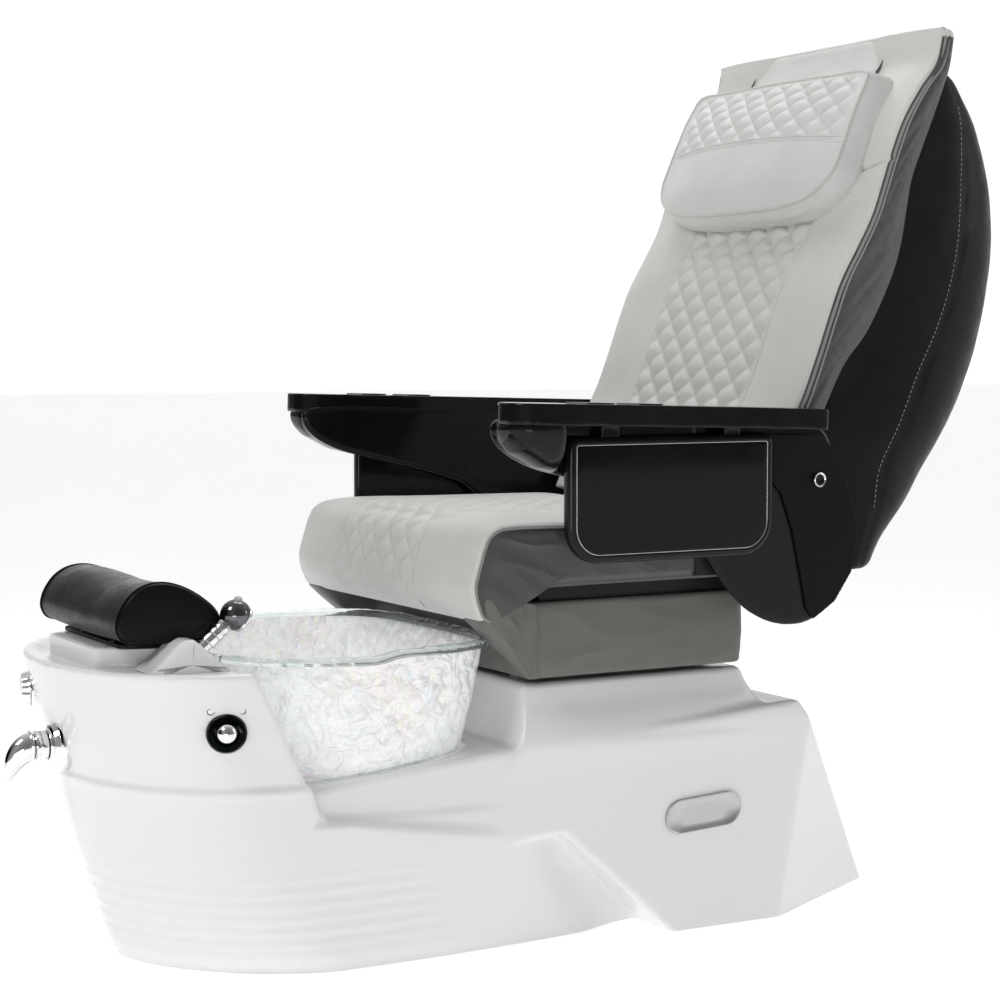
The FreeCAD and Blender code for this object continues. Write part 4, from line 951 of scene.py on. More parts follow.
    side = Vector((-0.25, -1, 0)).normalized()
    mid = Vector((-0.118, -0.75, 0.4)) + 0.007 * side
    ring = lathe("diverter_ring", [(0.0105, 0.0035), (0.0235, 0.004), (0.0255, 0.0052), (0.0285, 0.005),
                                   (0.0298, 0.003),
                                   (0.0302, -0.001), (0.03, -0.006)], mid, side, M["chrome"], 96)
    dress(ring, "base")
    knob = [(0, 0.0225), (0.015, 0.0222), (0.0185, 0.0214), (0.0262, 0.019), (0.0288, 0.011),
            (0.0294, 0.0075), (0.0272, 0.0055),
            (0.01, 0.005), (0.01, -0.0195), (0, -0.0195)]
    obj = lathe("diverter_handle", knob, mid, side, M["chrome"], 96)
    co = coords(obj)
    rel = co - np.array(mid)
    height = rel @ np.array(side)
    radial = rel - height[:, None] * np.array(side)
    across = np.array(side.cross(Vector((0, 0, 1))))
    angle = np.arctan2(radial[:, 2], radial @ across)
    grip = smoothstep(0.0056, 0.009, height) * (1 - smoothstep(0.018, 0.021, height))
    flute = 1 - 0.055 * (0.5 + 0.5 * np.cos(12 * angle)) * grip
    set_coords(obj, np.array(mid) + height[:, None] * np.array(side) + radial * flute[:, None])
    dress(obj, "diverter_knob", "diverter_knob")


make_fittings()


def make_badges():
    """Plain oval plates, raised rim and brushed face."""
    for sign, name in SIDES:
        def at(y, z, lift):
            x = np.interp(y, [-0.2, 0.12, 0.345], [0.286, 0.302, 0.3065]) + lift
            return (sign * x, y, z)
        centre_y, centre_z, half, radius = 0.2005, 0.1865, 0.0435, 0.0275
        loop = []
        for k in range(96):
            a = 2 * math.pi * k / 96
            y = radius * math.cos(a) + (half if math.cos(a) > 0 else -half)
            loop.append((y, radius * math.sin(a)))
        loop = resample(np.array(loop), 110, closed=True)
        rings = []
        for scale, lift in ((1.0, -0.002), (1.0, 0.0022), (0.985, 0.0036), (0.955, 0.004), (0.93, 0.0036),
                            (0.915, 0.0022), (0.9, 0.0018), (0.5, 0.0018), (0.02, 0.0018)):
            ring = []
            inset = (1 - scale) * radius
            for y, z in loop:
                yy = y - math.copysign(min(abs(y), inset), y) if scale > 0.6 else y * scale / 0.9 * 0.93
                zz = z * scale
                ring.append(at(centre_y + yy, centre_z + zz + 0.06 * yy, lift))
            rings.append(ring)
        plate = loft(f"side_plate_{name}", rings, M["silver"])
        if sign > 0:
            dress(plate, "base", "side_badges")
        else:
            dress(plate, "base")


make_badges()


# ------------------------------------------------------------------ foot rest and hand sprayer

SADDLE = [(-0.62, 0.499), (-0.67, 0.4995), (-0.708, 0.5015), (-0.7205, 0.508), (-0.727, 0.523),
          (-0.7245, 0.54), (-0.7165, 0.556), (-0.704, 0.571), (-0.687, 0.5815), (-0.668, 0.586),
          (-0.648, 0.585), (-0.622, 0.5765), (-0.596, 0.561), (-0.576, 0.543), (-0.568, 0.525),
          (-0.574, 0.508), (-0.592, 0.4995)]


def make_footrest():
    half = 0.18
    base = spline(SADDLE, 132, closed=True)
    centre = np.array([-0.65, 0.505])
    rings, marks = [], []
    stations = np.concatenate([[-1, -0.997, -0.988, -0.974, -0.955], np.linspace(-0.93, 0.93, 71),
                               [0.955, 0.974, 0.988, 0.997, 1]])
    for t in stations:
        x = t * half
        waist = 1 - 0.055 * math.cos(math.pi * (t - 0.25) / 1.6) ** 2
        edge = max(0.0, (abs(t) - 0.955) / 0.045)
        inset = 0.0055 * round_off(edge)
        loop = base.copy()
        loop[:, 1] = centre[1] + (loop[:, 1] - centre[1]) * np.where(loop[:, 1] > 0.52, waist, 1)
        sag = 0.0035 * math.cos(math.pi * t / 2)
        loop[:, 1] -= sag * (1 - smoothstep(0.5, 0.53, loop[:, 1]))
        loop = loop - normals_2d(loop) * inset
        rings.append([(x, y, z) for y, z in loop])
    pad = loft("footrest_cushion", rings, M["pad_black"])
    co = coords(pad)
    swell = noise_values(co, 14, 0.0009)
    set_coords(pad, co + vertex_normals(pad) * swell[:, None])
    dress(pad, "footrest", "footrest_pad")
    for sign, name in SIDES:
        k = len(stations) - 5 if sign > 0 else 4
        ring = np.array(rings[k])
        mid = ring.mean(0)
        cord = ring + (ring - mid) / np.linalg.norm(ring - mid, axis=1)[:, None] * 0.0006
        dress(tube(f"footrest_piping_{name}", cord, 0.0013, M["pad_black"], 8, closed=True), "footrest")
    bolts = []
    for x, y in ((0.12, -0.628), (0.122, -0.668), (-0.12, -0.628), (0.075, -0.698), (-0.06, -0.698)):
        bolts.append(lathe("bolt", [(0, -0.003), (0.004, -0.003), (0.0052, -0.0016), (0.0052, 0.001),
                                    (0, 0.001)],
                           (x, y, 0.4925), (0, 0, 1), M["steel"], 20))
    dress(joined("footrest_bolts", bolts), "footrest")

    corners = [(0.108, -0.737), (0.146, -0.64), (0.146, -0.585), (-0.146, -0.585), (-0.146, -0.64),
               (-0.108, -0.737)]
    outline = []
    for index, corner in enumerate(corners):
        here = np.array(corner)
        before, after = np.array(corners[index - 1]), np.array(corners[(index + 1) % 6])
        start = here + (before - here) / np.linalg.norm(before - here) * 0.014
        end = here + (after - here) / np.linalg.norm(after - here) * 0.014
        for t in np.linspace(0, 1, 9):
            outline.append(start * (1 - t) ** 2 + 2 * here * t * (1 - t) + end * t * t)
    outline = resample(np.array(outline), 120, closed=True)
    rings = []
    for z, inset in ((0.452, -0.001), (0.462, -0.0003), (0.47, 0.0004), (0.482, 0.001), (0.486, 0.0022),
                     (0.4875, 0.005),
                     (0.4878, 0.015), (0.4878, 0.024)):
        loop = outline - normals_2d(outline) * inset
        rings.append([(x, y, z) for x, y in loop])
    stand = loft("footrest_stand", rings, M["white"])
    dress(stand, "base")



make_footrest()


def make_sprayer():
    rings = []
    foot = [(-0.694, 0.4615), (-0.6865, 0.4665), (-0.67, 0.48), (-0.652, 0.496), (-0.644, 0.5025),
            (-0.636, 0.506),
            (-0.624, 0.5055), (-0.615, 0.499), (-0.598, 0.483), (-0.58, 0.467), (-0.57, 0.46),
            (-0.575, 0.454), (-0.63, 0.452), (-0.688, 0.456)]
    loop = resample(np.array(foot), 120, closed=True)
    for t in np.linspace(-1, 1, 33):
        edge = max(0.0, (abs(t) - 0.72) / 0.28)
        inset = 0.01 * round_off(edge)
        ring = loop - normals_2d(loop) * inset
        x = 0.186 + 0.033 * t
        flare = (ring[:, 1] - 0.5) * 0.18 * t
        rings.append(np.column_stack([np.full(len(ring), x) - flare, ring]))
    boss = loft("sprayer_mount", rings, M["white"])
    dress(boss, "base", "sprayer_boss")

    tilt = math.radians(40)
    along = Vector((0, math.cos(tilt), math.sin(tilt)))
    start = Vector((0.19, -0.604, 0.49))
    profile = [(0, -0.022), (0.009, -0.022), (0.009, 0.0045), (0.0098, 0.005), (0.0098, 0.0095),
               (0.009, 0.01),
               (0.0104, 0.0115), (0.0107, 0.0135), (0.0107, 0.0235), (0.0098, 0.0248), (0.0109, 0.0262),
               (0.0113, 0.03),
               (0.0113, 0.033), (0.0099, 0.0342), (0.0099, 0.0362), (0.0112, 0.0374), (0.0116, 0.041),
               (0.0112, 0.045),
               (0.0098, 0.0466), (0.0094, 0.049), (0, 0.049)]
    profile = [(r if r == 0 else r + 0.0014, s) for r, s in profile]
    dress(lathe("sprayer_grip", profile, start, along, M["chrome"], 64), "sprayer", "sprayer_handle")
    head = []
    centre = start + along * 0.07
    for k in range(25):
        a = math.pi * (1 - k / 24)
        head.append((0.0232 * math.sin(a), 0.0232 * math.cos(a)))
    head[0] = (0, -0.0232)
    head[-1] = (0, 0.0232)
    ball = lathe("sprayer_ball", head, centre, along, M["chrome_dark"], 72)
    look = Vector((0.1, 0.8, -0.59)).normalized()
    face = lathe("sprayer_face", [(0.0185, 0.011), (0.02, 0.0145), (0.019, 0.017), (0.016, 0.0182),
                                  (0, 0.0188)],
                 centre, look, M["chrome"], 64)
    nozzles = []
    side = look.cross(Vector((0, 0, 1))).normalized()
    up = side.cross(look)
    for ring_radius, number in ((0.0045, 6), (0.009, 12)):
        for k in range(number):
            a = 2 * math.pi * k / number
            spot = centre + look * 0.0182 + (side * math.cos(a) + up * math.sin(a)) * ring_radius
            nozzles.append(lathe("jet", [(0.0011, 0), (0.0009, 0.0016), (0, 0.0018)], spot, look,
                                 M["rubber"], 8))
    button = lathe("sprayer_button", [(0.0058, 0.0185), (0.0062, 0.0235), (0.0054, 0.0265), (0.003, 0.0278),
                                      (0, 0.028)],
                   centre, Vector((0.15, 0.12, 0.98)), M["grey_clear"], 24)
    whole = joined("sprayer_top", [ball, face, button] + nozzles)
    dress(whole, "sprayer", "sprayer_head")


make_sprayer()


# ------------------------------------------------------------------ upholstery helpers

def paint(obj, material, test):
    """Faces whose centre passes the test take another material."""
    obj.data.materials.append(material)
    index = len(obj.data.materials) - 1
    for face in obj.data.polygons:
        if test(face.center):
            face.material_index = index
    return obj


def quilt(u, v, wide, tall, sharp=0.55):
    """Height between 0 on the stitch lines and 1 in the middle of each diamond."""
    p, q = u / wide + v / tall, u / wide - v / tall
    return (np.abs(np.sin(math.pi * p)) * np.abs(np.sin(math.pi * q))) ** sharp


def dimple(distance, width):
    """Groove profile: 1 on the line, 0 beyond the width."""
    return np.exp(-(np.asarray(distance) / width) ** 2)


class Sheet:
    """A grid of points that can be read at any fraction of its rows and columns."""

    def __init__(self, grid, rows_at, cols_at):
        self.grid = np.array(grid, float)
        self.rows_at, self.cols_at = np.array(rows_at, float), np.array(cols_at, float)

    def at(self, row, col, lift=0.0):
        i = np.interp(row, self.rows_at, np.arange(len(self.rows_at)))
        j = np.interp(col, self.cols_at, np.arange(len(self.cols_at)))
        i0, j0 = min(int(i), len(self.rows_at) - 2), min(int(j), len(self.cols_at) - 2)
        a, b = i - i0, j - j0
        g = self.grid
        point = ((g[i0, j0] * (1 - b) + g[i0, j0 + 1] * b) * (1 - a)
                 + (g[i0 + 1, j0] * (1 - b) + g[i0 + 1, j0 + 1] * b) * a)
        if lift:
            along = g[i0 + 1, j0] - g[i0, j0]
            across = g[i0, j0 + 1] - g[i0, j0]
            out = np.cross(across, along)
            point = point + out / (np.linalg.norm(out) + 1e-12) * lift
        return point

    def line(self, rows, cols, lift=0.0):
        return np.array([self.at(r, c, lift) for r, c in zip(rows, cols)])


def quilt_lines(wide, tall, low_u, high_u, low_v, high_v, step=0.004):
    """Stitch lines (rows v, columns u) of the diamond lattice inside a rectangle."""
    lines = []
    slope = tall / wide
    for sign in (1, -1):
        reach = (high_u - low_u) / wide + (high_v - low_v) / tall + 4
        for k in range(int(-reach), int(reach) + 1):
            u = np.arange(low_u, high_u, step)
            v = sign * (k * tall - u * slope)
            keep = (v > low_v) & (v < high_v)
            if keep.sum() > 3:
                lines.append((v[keep], u[keep]))
    return lines


# ------------------------------------------------------------------ seat

SEAT_EDGE = [(-0.178, 0.5125), (-0.196, 0.5125), (-0.209, 0.52), (-0.2165, 0.536), (-0.2225, 0.558),
             (-0.223, 0.572), (-0.2185, 0.59), (-0.213, 0.608), (-0.2065, 0.628), (-0.196, 0.647),
             (-0.178, 0.6575), (-0.15, 0.66), (-0.11, 0.66), (-0.067, 0.659), (0.0000, 0.658), (0.1, 0.657),
             (0.2, 0.656), (0.27, 0.655), (0.293, 0.646), (0.3, 0.625), (0.298, 0.576),
             (0.29, 0.565), (0.26, 0.563), (0.1, 0.562), (0.0000, 0.562), (-0.1, 0.561),
             (-0.145, 0.559), (-0.169, 0.545), (-0.176, 0.525)]
SEAT_HALF = 0.315
SEAT_SEAM = 0.14
SEAT_CELL = (0.0575, 0.052)


def make_seat():
    count = 420
    edge = spline(SEAT_EDGE, count, closed=True)
    edge = np.roll(edge, -int(np.argmin(np.abs(edge[:, 0] + 0.196) + np.abs(edge[:, 1] - 0.5125))), axis=0)
    if edge[20, 1] < edge[0, 1] + 0.01:
        edge = np.roll(edge[::-1], 1, axis=0)
    length = np.concatenate([[0], np.cumsum(np.linalg.norm(np.diff(edge, axis=0), axis=1))])
    out = normals_2d(edge)
    front = smoothstep(0.012, 0.05, length) * (1 - smoothstep(0.135, 0.175, length))
    top = smoothstep(0.15, 0.2, length) * (1 - smoothstep(0.55, 0.62, length))
    stations = np.linspace(-SEAT_HALF, SEAT_HALF, 176)
    rings = []
    for x in stations:
        t = abs(x) / SEAT_HALF
        rise = front * 0.016 * (1 - t ** 2.2) + top * 0.0115 * (1 - t ** 2.4)
        live = smoothstep(0.02, 0.045, length) * (1 - smoothstep(0.56, 0.6, length))
        inside = 1.0 - smoothstep(SEAT_SEAM - 0.002, SEAT_SEAM + 0.002, abs(x))
        near_seam = 1 - dimple(abs(x) - SEAT_SEAM, 0.01)
        cells = quilt(x, length, *SEAT_CELL)
        rise = rise + inside * live * (cells * 0.0078 - 0.0045) * near_seam
        side = (abs(x) - SEAT_SEAM) / (SEAT_HALF - SEAT_SEAM)
        if side > 0:
            rise = rise + live * 0.0045 * math.sin(math.pi * min(1, side)) ** 0.7
        rise = rise - live * 0.0042 * dimple(abs(x) - SEAT_SEAM, 0.0035)
        corner = smoothstep(SEAT_HALF - 0.01, SEAT_HALF, abs(x))
        rise = rise - 0.005 * corner ** 2
        loop = edge + out * np.asarray(rise)[:, None]
        rings.append(np.column_stack([np.full(count, x), loop]))
    grid = np.array(rings)

    rows = []
    for sign in (-1, 1):
        ring = grid[0 if sign < 0 else -1]
        cap = []
        for share in np.linspace(0, 1, 26)[1:]:
            to = np.array([ring[:, 0], np.interp(ring[:, 1], [-0.23, 0.3], [-0.02, 0.02]),
                           np.full(count, 0.608)]).T
            loop = ring + (to - ring) * min(share, 0.985)
            bulge = 0.0055 * smoothstep(0, 0.25, share) - 0.0012 * (1 - share)
            loop[:, 0] += sign * bulge
            if share < 0.9:
                fold = np.array([noise.noise(Vector((p[1] * 9 + 4 * sign, p[2] * 26 + p[1] * 12,
                                                     2.0))) for p in loop])
                ridge = (1 - np.abs(fold)) ** 6
                weight = np.interp(loop[:, 1], [-0.23, -0.05, 0.3], [0.0042, 0.0022, 0.0012])
                loop[:, 0] += sign * ridge * weight * smoothstep(0.02, 0.15, share)
            cap.append(loop)
        rows.append(cap)
    full = np.concatenate([np.array(rows[0])[::-1], grid, np.array(rows[1])])
    seat = loft("seat_leather", full, M["leather"])
    # The seat's side caps and lower rear faces take the side leather, whose dark colour is partly painted shade.
    paint(seat, M["leather_side"], lambda c: abs(c.x) > SEAT_HALF - 0.0012 or (c.z < 0.58 and c.y > -0.185))
    dress(seat, "seat", "seat_cushion")

    sheet = Sheet(grid.transpose(1, 0, 2), length, stations)
    paths = [sheet.line(v, u, -0.0004) for v,
             u in quilt_lines(*SEAT_CELL, -SEAT_SEAM + 0.003, SEAT_SEAM - 0.003,
                                                               0.03, 0.57, 0.0035)]
    dress(stitches("seat_quilt_thread", paths, M["thread"], 0.0048, 0.0036, 0.00052), "seat")
    run = np.linspace(0.02, 0.565, 180)
    far = sheet.line(run, np.full(len(run), -SEAT_SEAM), -0.0006)
    dress(stitches("seat_seam_thread", [far], M["thread_dark"], 0.006, 0.004, 0.0009), "seat")
    near = sheet.line(run, np.full(len(run), SEAT_SEAM), -0.0012)
    dress(tube("seat_seam_piping", near, 0.0018, M["piping"], 8), "seat")
    for sign, name in SIDES:
        run = np.linspace(0.0, 0.5, 240)
        line = sheet.line(run, np.full(len(run), sign * SEAT_HALF))
        line[:, 0] = sign * (SEAT_HALF + 0.0004)
        dress(tube(f"seat_edge_piping_{name}", line, 0.0022, M["leather_welt"], 10), "seat")
        inner = sheet.line(run, np.full(len(run), sign * (SEAT_HALF - 0.0085)), -0.0003)
        dress(stitches(f"seat_edge_thread_{name}", [inner], M["thread_grey"], 0.0052, 0.0038, 0.0005),
              "seat")


def make_apron():
    """Side leather that runs from the cushion's front corner down into the skirt."""
    for sign, name in SIDES:
        rings = []
        for t in np.linspace(0, 1, 48):
            z = 0.58 - 0.163 * t
            front = -0.206 + 0.106 * float(np.clip((0.515 - z) / 0.098, 0, 1))
            rear = -0.084 - 0.056 * float(smoothstep(0.529, 0.544, z))
            ring = []
            for k, y in enumerate(np.linspace(front, rear, 30)):
                u = k / 29
                x = 0.269 + 0.048 * float(smoothstep(-0.09, -0.19, y))
                x = x - 0.006 * float(smoothstep(0.545, 0.57, z))
                fold = noise.noise(Vector((u * 2.2 + t * 1.4, t * 2.6 - u, 3.0 + sign)))
                lift = 0.003 * (1 - abs(fold)) ** 5 * math.sin(math.pi * min(1,
                                                                             t * 1.1)) * math.sin(math.pi * u)
                edge = max(0.0, 1 - u * 9)
                ring.append((sign * (x + lift - 0.008 * round_off(edge)), y, z))
            for y in np.linspace(rear, front, 12):
                ring.append((sign * 0.254, y, z))
            rings.append(ring)
        dress(loft(f"seat_apron_{name}", rings, M["leather_skirt"]), "seat")


def make_seat_frame():
    """Steel frame hidden between cushion and skirt, with the arm mounts behind the trays."""
    pan = [(-0.075, 0.532), (0.275, 0.532), (0.275, 0.566), (-0.128, 0.566), (-0.136, 0.56),
           (-0.075, 0.545)]
    mount = [(0.17, 0.568), (0.262, 0.568), (0.262, 0.612), (0.17, 0.612)]
    bars = [prism(pan, -0.256, 0.256, material=M["frame"])]
    bars += [prism(mount, low, low + 0.072, material=M["frame"]) for low in (0.251, -0.323)]
    dress(joined("seat_frame_bars", bars), "seat", "seat_frame")


make_seat()
make_apron()
make_seat_frame()


# ------------------------------------------------------------------ skirt under the seat

def make_skirt():
    outline = []
    for corner_x, corner_y, first in ((0.25, 0.285, 0), (-0.25, 0.285, 90), (-0.26, -0.0935, 180),
                                      (0.26, -0.0935, 270)):
        radius = 0.0175 if corner_y > 0 else 0.0075
        for k in range(13):
            a = math.radians(first + 7.5 * k)
            outline.append((corner_x + radius * math.cos(a), corner_y + radius * math.sin(a)))
    loop = resample(np.array(outline), 460, closed=True)
    normal = normals_2d(loop)
    rings = []
    levels = np.concatenate([[0.4165, 0.4175, 0.419, 0.4215], np.linspace(0.425, 0.524, 26),
                             [0.528, 0.5315, 0.534, 0.535]])
    for z in levels:
        low = max(0.0, (0.4225 - z) / 0.006)
        high = max(0.0, (z - 0.5275) / 0.0075)
        tuck = 0.0055 * round_off(low) + 0.006 * round_off(high)
        belly = 0.0035 * math.sin(math.pi * np.clip((z - 0.418) / 0.126, 0, 1))
        push = np.full(len(loop), belly - tuck)
        for index, (x, y) in enumerate(loop):
            n = noise.noise(Vector((x * 7, y * 7, z * 22)))
            push[index] += 0.003 * (1 - abs(n)) ** 5 * (0.35 + 0.65 * smoothstep(0.1, -0.1, y)) - 0.0008
            push[index] += 0.0016 * noise.noise(Vector((x * 16, y * 16, z * 9 + 3)))
        seam = dimple(loop[:, 1] + 0.088, 0.003) * (np.abs(loop[:, 0]) > 0.2)
        push -= seam * 0.0035
        ring = loop + normal * push[:, None]
        rings.append(np.column_stack([ring, np.full(len(loop), z)]))
    inner = [np.column_stack([loop - normal * 0.01, np.full(len(loop), z)]) for z in (0.535, 0.4165)]
    verts = np.array(rings + inner)
    skirt = fix_normals(make("skirt_leather", verts.reshape(-1, 3),
                             grid_faces(len(verts), len(loop), True, True),
                             M["leather_skirt"]))
    dress(skirt, "seat", "seat_skirt")
    lines = []
    for sign in (1, -1):
        for offset in (-0.0065, 0.0065):
            lines.append([(sign * (0.2675 + 0.0012), -0.084 + offset, z) for z in np.linspace(0.424, 0.528,
                                                                                              30)])
    dress(stitches("skirt_thread", lines, M["thread_grey"], 0.0055, 0.004, 0.0006), "seat")


make_skirt()


# ------------------------------------------------------------------ back

BACK_EDGE = [(0.283, 0.672), (0.33, 0.765), (0.374, 0.835), (0.408, 0.915), (0.429, 0.971), (0.456, 1.035),
             (0.489, 1.09), (0.517, 1.14), (0.536, 1.19), (0.554, 1.24), (0.58, 1.3), (0.614, 1.352),
             (0.647, 1.395), (0.66, 1.444)]
BACK_REAR = [(0.33, 0.655), (0.372, 0.742), (0.416, 0.812), (0.463, 0.898), (0.508, 0.95), (0.556, 1.035),
             (0.576, 1.09), (0.588, 1.15), (0.598, 1.2), (0.616, 1.245), (0.64, 1.3), (0.662, 1.352),
             (0.676, 1.39), (0.684, 1.436)]
BACK_HALF = 0.3185
BACK_SEAM = 0.173
BACK_CELL = (0.061, 0.055)


def back_curves(count):
    """Matched front and rear side points of the back cushion, with their run from the bottom."""
    both = spline([f + r for f, r in zip(BACK_EDGE, BACK_REAR)], count)
    front, rear = both[:, :2], both[:, 2:]
    run = np.concatenate([[0], np.cumsum(np.linalg.norm(np.diff(front, axis=0), axis=1))])
    return front, rear, run


def back_half(z):
    return 0.298 + (BACK_HALF - 0.298) * smoothstep(0.755, 0.8, z)


def panel_half(run, total):
    """Half width of the quilted panel, with its rounded top corners."""
    left = np.clip((total - 0.045 - run) / 0.04, 0, 1)
    return BACK_SEAM - 0.04 * (1 - np.sqrt(1 - (1 - left) ** 2))


def make_back():
    rows = 300
    front, rear, run = back_curves(rows)
    total = run[-1]
    shares = np.linspace(-1, 1, 186)
    grid, rings = [], []
    for k in range(rows):
        f, r = front[k], rear[k]
        through_back = (r - f) / np.linalg.norm(r - f)
        half = float(back_half(f[1]))
        x = shares * half
        ahead = front[min(k + 1, rows - 1)] - front[max(k - 1, 0)]
        ahead = ahead / np.linalg.norm(ahead)
        out = np.array([-ahead[1], ahead[0]])
        s = run[k]
        fade = float(smoothstep(0.0, 0.1, s) * (1 - 0.75 * smoothstep(total - 0.16, total, s)))
        crown = 0.014 * (1 - (np.abs(x) / half) ** 2) * fade
        limit = float(panel_half(s, total))
        inside = 1 - smoothstep(limit - 0.002, limit + 0.002, np.abs(x))
        if s > total - 0.045:
            inside = inside * 0
        seam = dimple(np.abs(x) - limit, 0.0036)
        near_seam = 1 - dimple(np.abs(x) - limit, 0.011)
        rise = crown + inside * (quilt(x, s, *BACK_CELL) * 0.0105 - 0.0058) * near_seam - seam * 0.0045
        side = np.clip((np.abs(x) - limit) / (half - limit), 0, 1)
        puff = 0.0085 * np.sin(math.pi * side) ** 0.7
        cross = dimple(s - (0.565 + 0.06 * side), 0.0042)
        rise = rise + (1 - inside) * (puff * (1 - 0.75 * cross)) - (1 - inside) * cross * 0.002 * (side > 0.02)
        rise = rise - 0.006 * smoothstep(half - 0.01, half, np.abs(x)) ** 2
        wobble = np.array([noise.noise(Vector((a * 5, s * 5, 0.3))) * 0.0016
                           + noise.noise(Vector((a * 30, s * 9, 1.3))) * 0.0007
                           for a in x])
        rise = rise + wobble * (1 - 0.4 * inside)
        face = np.column_stack([x, f[0] + out[0] * rise, f[1] + out[1] * rise])
        grid.append(face)
        ring = list(face)
        steps = 14
        for sign in (1, -1):
            strip = []
            for m in range(1, steps + 1):
                t = m / steps
                p = f + (r - f) * t
                bulge = 0.005 * math.sin(math.pi * t) ** 0.8
                fold = noise.noise(Vector((t * 1.6 + 7 * sign, s * 24 - t * 5, 5.0)))
                ridge = (1 - abs(fold)) ** 5 * 0.0034 * math.sin(math.pi * t)
                slack = 0.0016 * noise.noise(Vector((t * 3, s * 42, 9.0 * sign)))
                strip.append((sign * (half - 0.0015 + bulge + ridge + slack * math.sin(math.pi * t)), p[0],
                              p[1]))
            ring += strip if sign > 0 else strip[::-1]
            if sign > 0:
                last = strip[-1]
                other = -last[0]
                ring += [(last[0] + (other - last[0]) * q / 20, last[1], last[2]) for q in range(1, 20)]
        rings.append(ring)
    rings = np.array(rings)
    lid = [rings[-1]]
    middle = rings[-1].mean(0)
    for share, lift in ((0.985, 0.0035), (0.95, 0.0062), (0.88, 0.0078), (0.75, 0.0085), (0.5, 0.0088),
                        (0.2, 0.0088)):
        ring = rings[-1].copy()
        ring[:, 1] = middle[1] + (ring[:, 1] - middle[1]) * share
        ring[:, 2] = middle[2] + (ring[:, 2] - middle[2]) * share + lift
        if share > 0.4:
            ring[:, 0] = np.sign(ring[:, 0]) * np.maximum(np.abs(ring[:, 0]) - (1 - share) * 0.014, 0)
        else:
            ring[:, 0] *= 0.99
        lid.append(ring)
    full = np.concatenate([rings, np.array(lid[1:])])
    back = loft("back_leather", full, M["leather"])

    # The back's side gusset takes the side leather, whose dark colour is partly painted shade.
    def gusset(c):
        if abs(c.x) < float(back_half(c.z)) - 0.0042:
            return False
        return c.y > np.interp(c.z, front[:, 1], front[:, 0]) + 0.0015 and c.z < 1.437
    paint(back, M["leather_side"], gusset)
    dress(back, "back", "back_cushion")

    sheet = Sheet(grid, run, shares)

    def column(x, s):
        z = np.interp(s, run, front[:, 1])
        return x / back_half(z)
    paths = []
    for v, u in quilt_lines(*BACK_CELL, -BACK_SEAM + 0.003, BACK_SEAM - 0.003, 0.02, total - 0.048, 0.004):
        keep = np.abs(u) < panel_half(v, total) - 0.002
        if keep.sum() > 3:
            paths.append(sheet.line(v[keep], column(u[keep], v[keep]), -0.0004))
    dress(stitches("back_quilt_thread", paths, M["thread"], 0.005, 0.0038, 0.00052), "back")
    s = np.concatenate([np.linspace(0.1, total - 0.086, 200),
                        np.linspace(total - 0.085, total - 0.0455, 26)])
    limit = panel_half(s, total)
    dress(tube("back_seam_piping", sheet.line(s, column(limit, s), -0.0012), 0.0019, M["piping"], 8),
          "back")
    dress(stitches("back_seam_thread", [sheet.line(s, column(-limit, s), -0.0008)], M["thread_dark"],
                   0.0062, 0.0042, 0.0009),
          "back")
    rows_s = np.linspace(0.1, total - 0.004, 300)
    for sign, name in SIDES:
        side = sign * np.ones(len(rows_s))
        line = sheet.line(rows_s, side)
        line[:, 0] += sign * 0.0006
        dress(tube(f"back_welt_{name}", line, 0.0025, M["leather_welt"], 10), "back")
        second = []
        for a in rows_s:
            k = int(np.argmin(np.abs(run - a)))
            p = front[k] + (rear[k] - front[k]) / np.linalg.norm(rear[k] - front[k]) * 0.0125
            second.append((sign * (float(back_half(front[k][1])) + 0.0028), p[0], p[1]))
        dress(tube(f"back_welt_rear_{name}", resample(second, 260), 0.0019, M["leather_welt"], 8), "back")
        end = []
        for t in np.linspace(0, 1, 30):
            edge = BACK_SEAM + (BACK_HALF - BACK_SEAM) * t
            end.append(sheet.at(0.565 + 0.06 * t, float(column(sign * edge, 0.6)), -0.0005))
        dress(stitches(f"back_side_thread_{name}", [end], M["thread_grey"], 0.0052, 0.004, 0.0005), "back")


make_back()


# ------------------------------------------------------------------ head pillow and its strap

PILLOW_OUTLINE = [(0, 0), (0.1, 0.002), (0.16, 0.008), (0.21, 0.021), (0.243, 0.044), (0.26, 0.074),
                  (0.262, 0.115),
                  (0.26, 0.17), (0.257, 0.232), (0.253, 0.252), (0.24, 0.263), (0.15, 0.265), (0, 0.266)]
PILLOW_CELL = (0.058, 0.044)
PILLOW_SEAM = 0.129


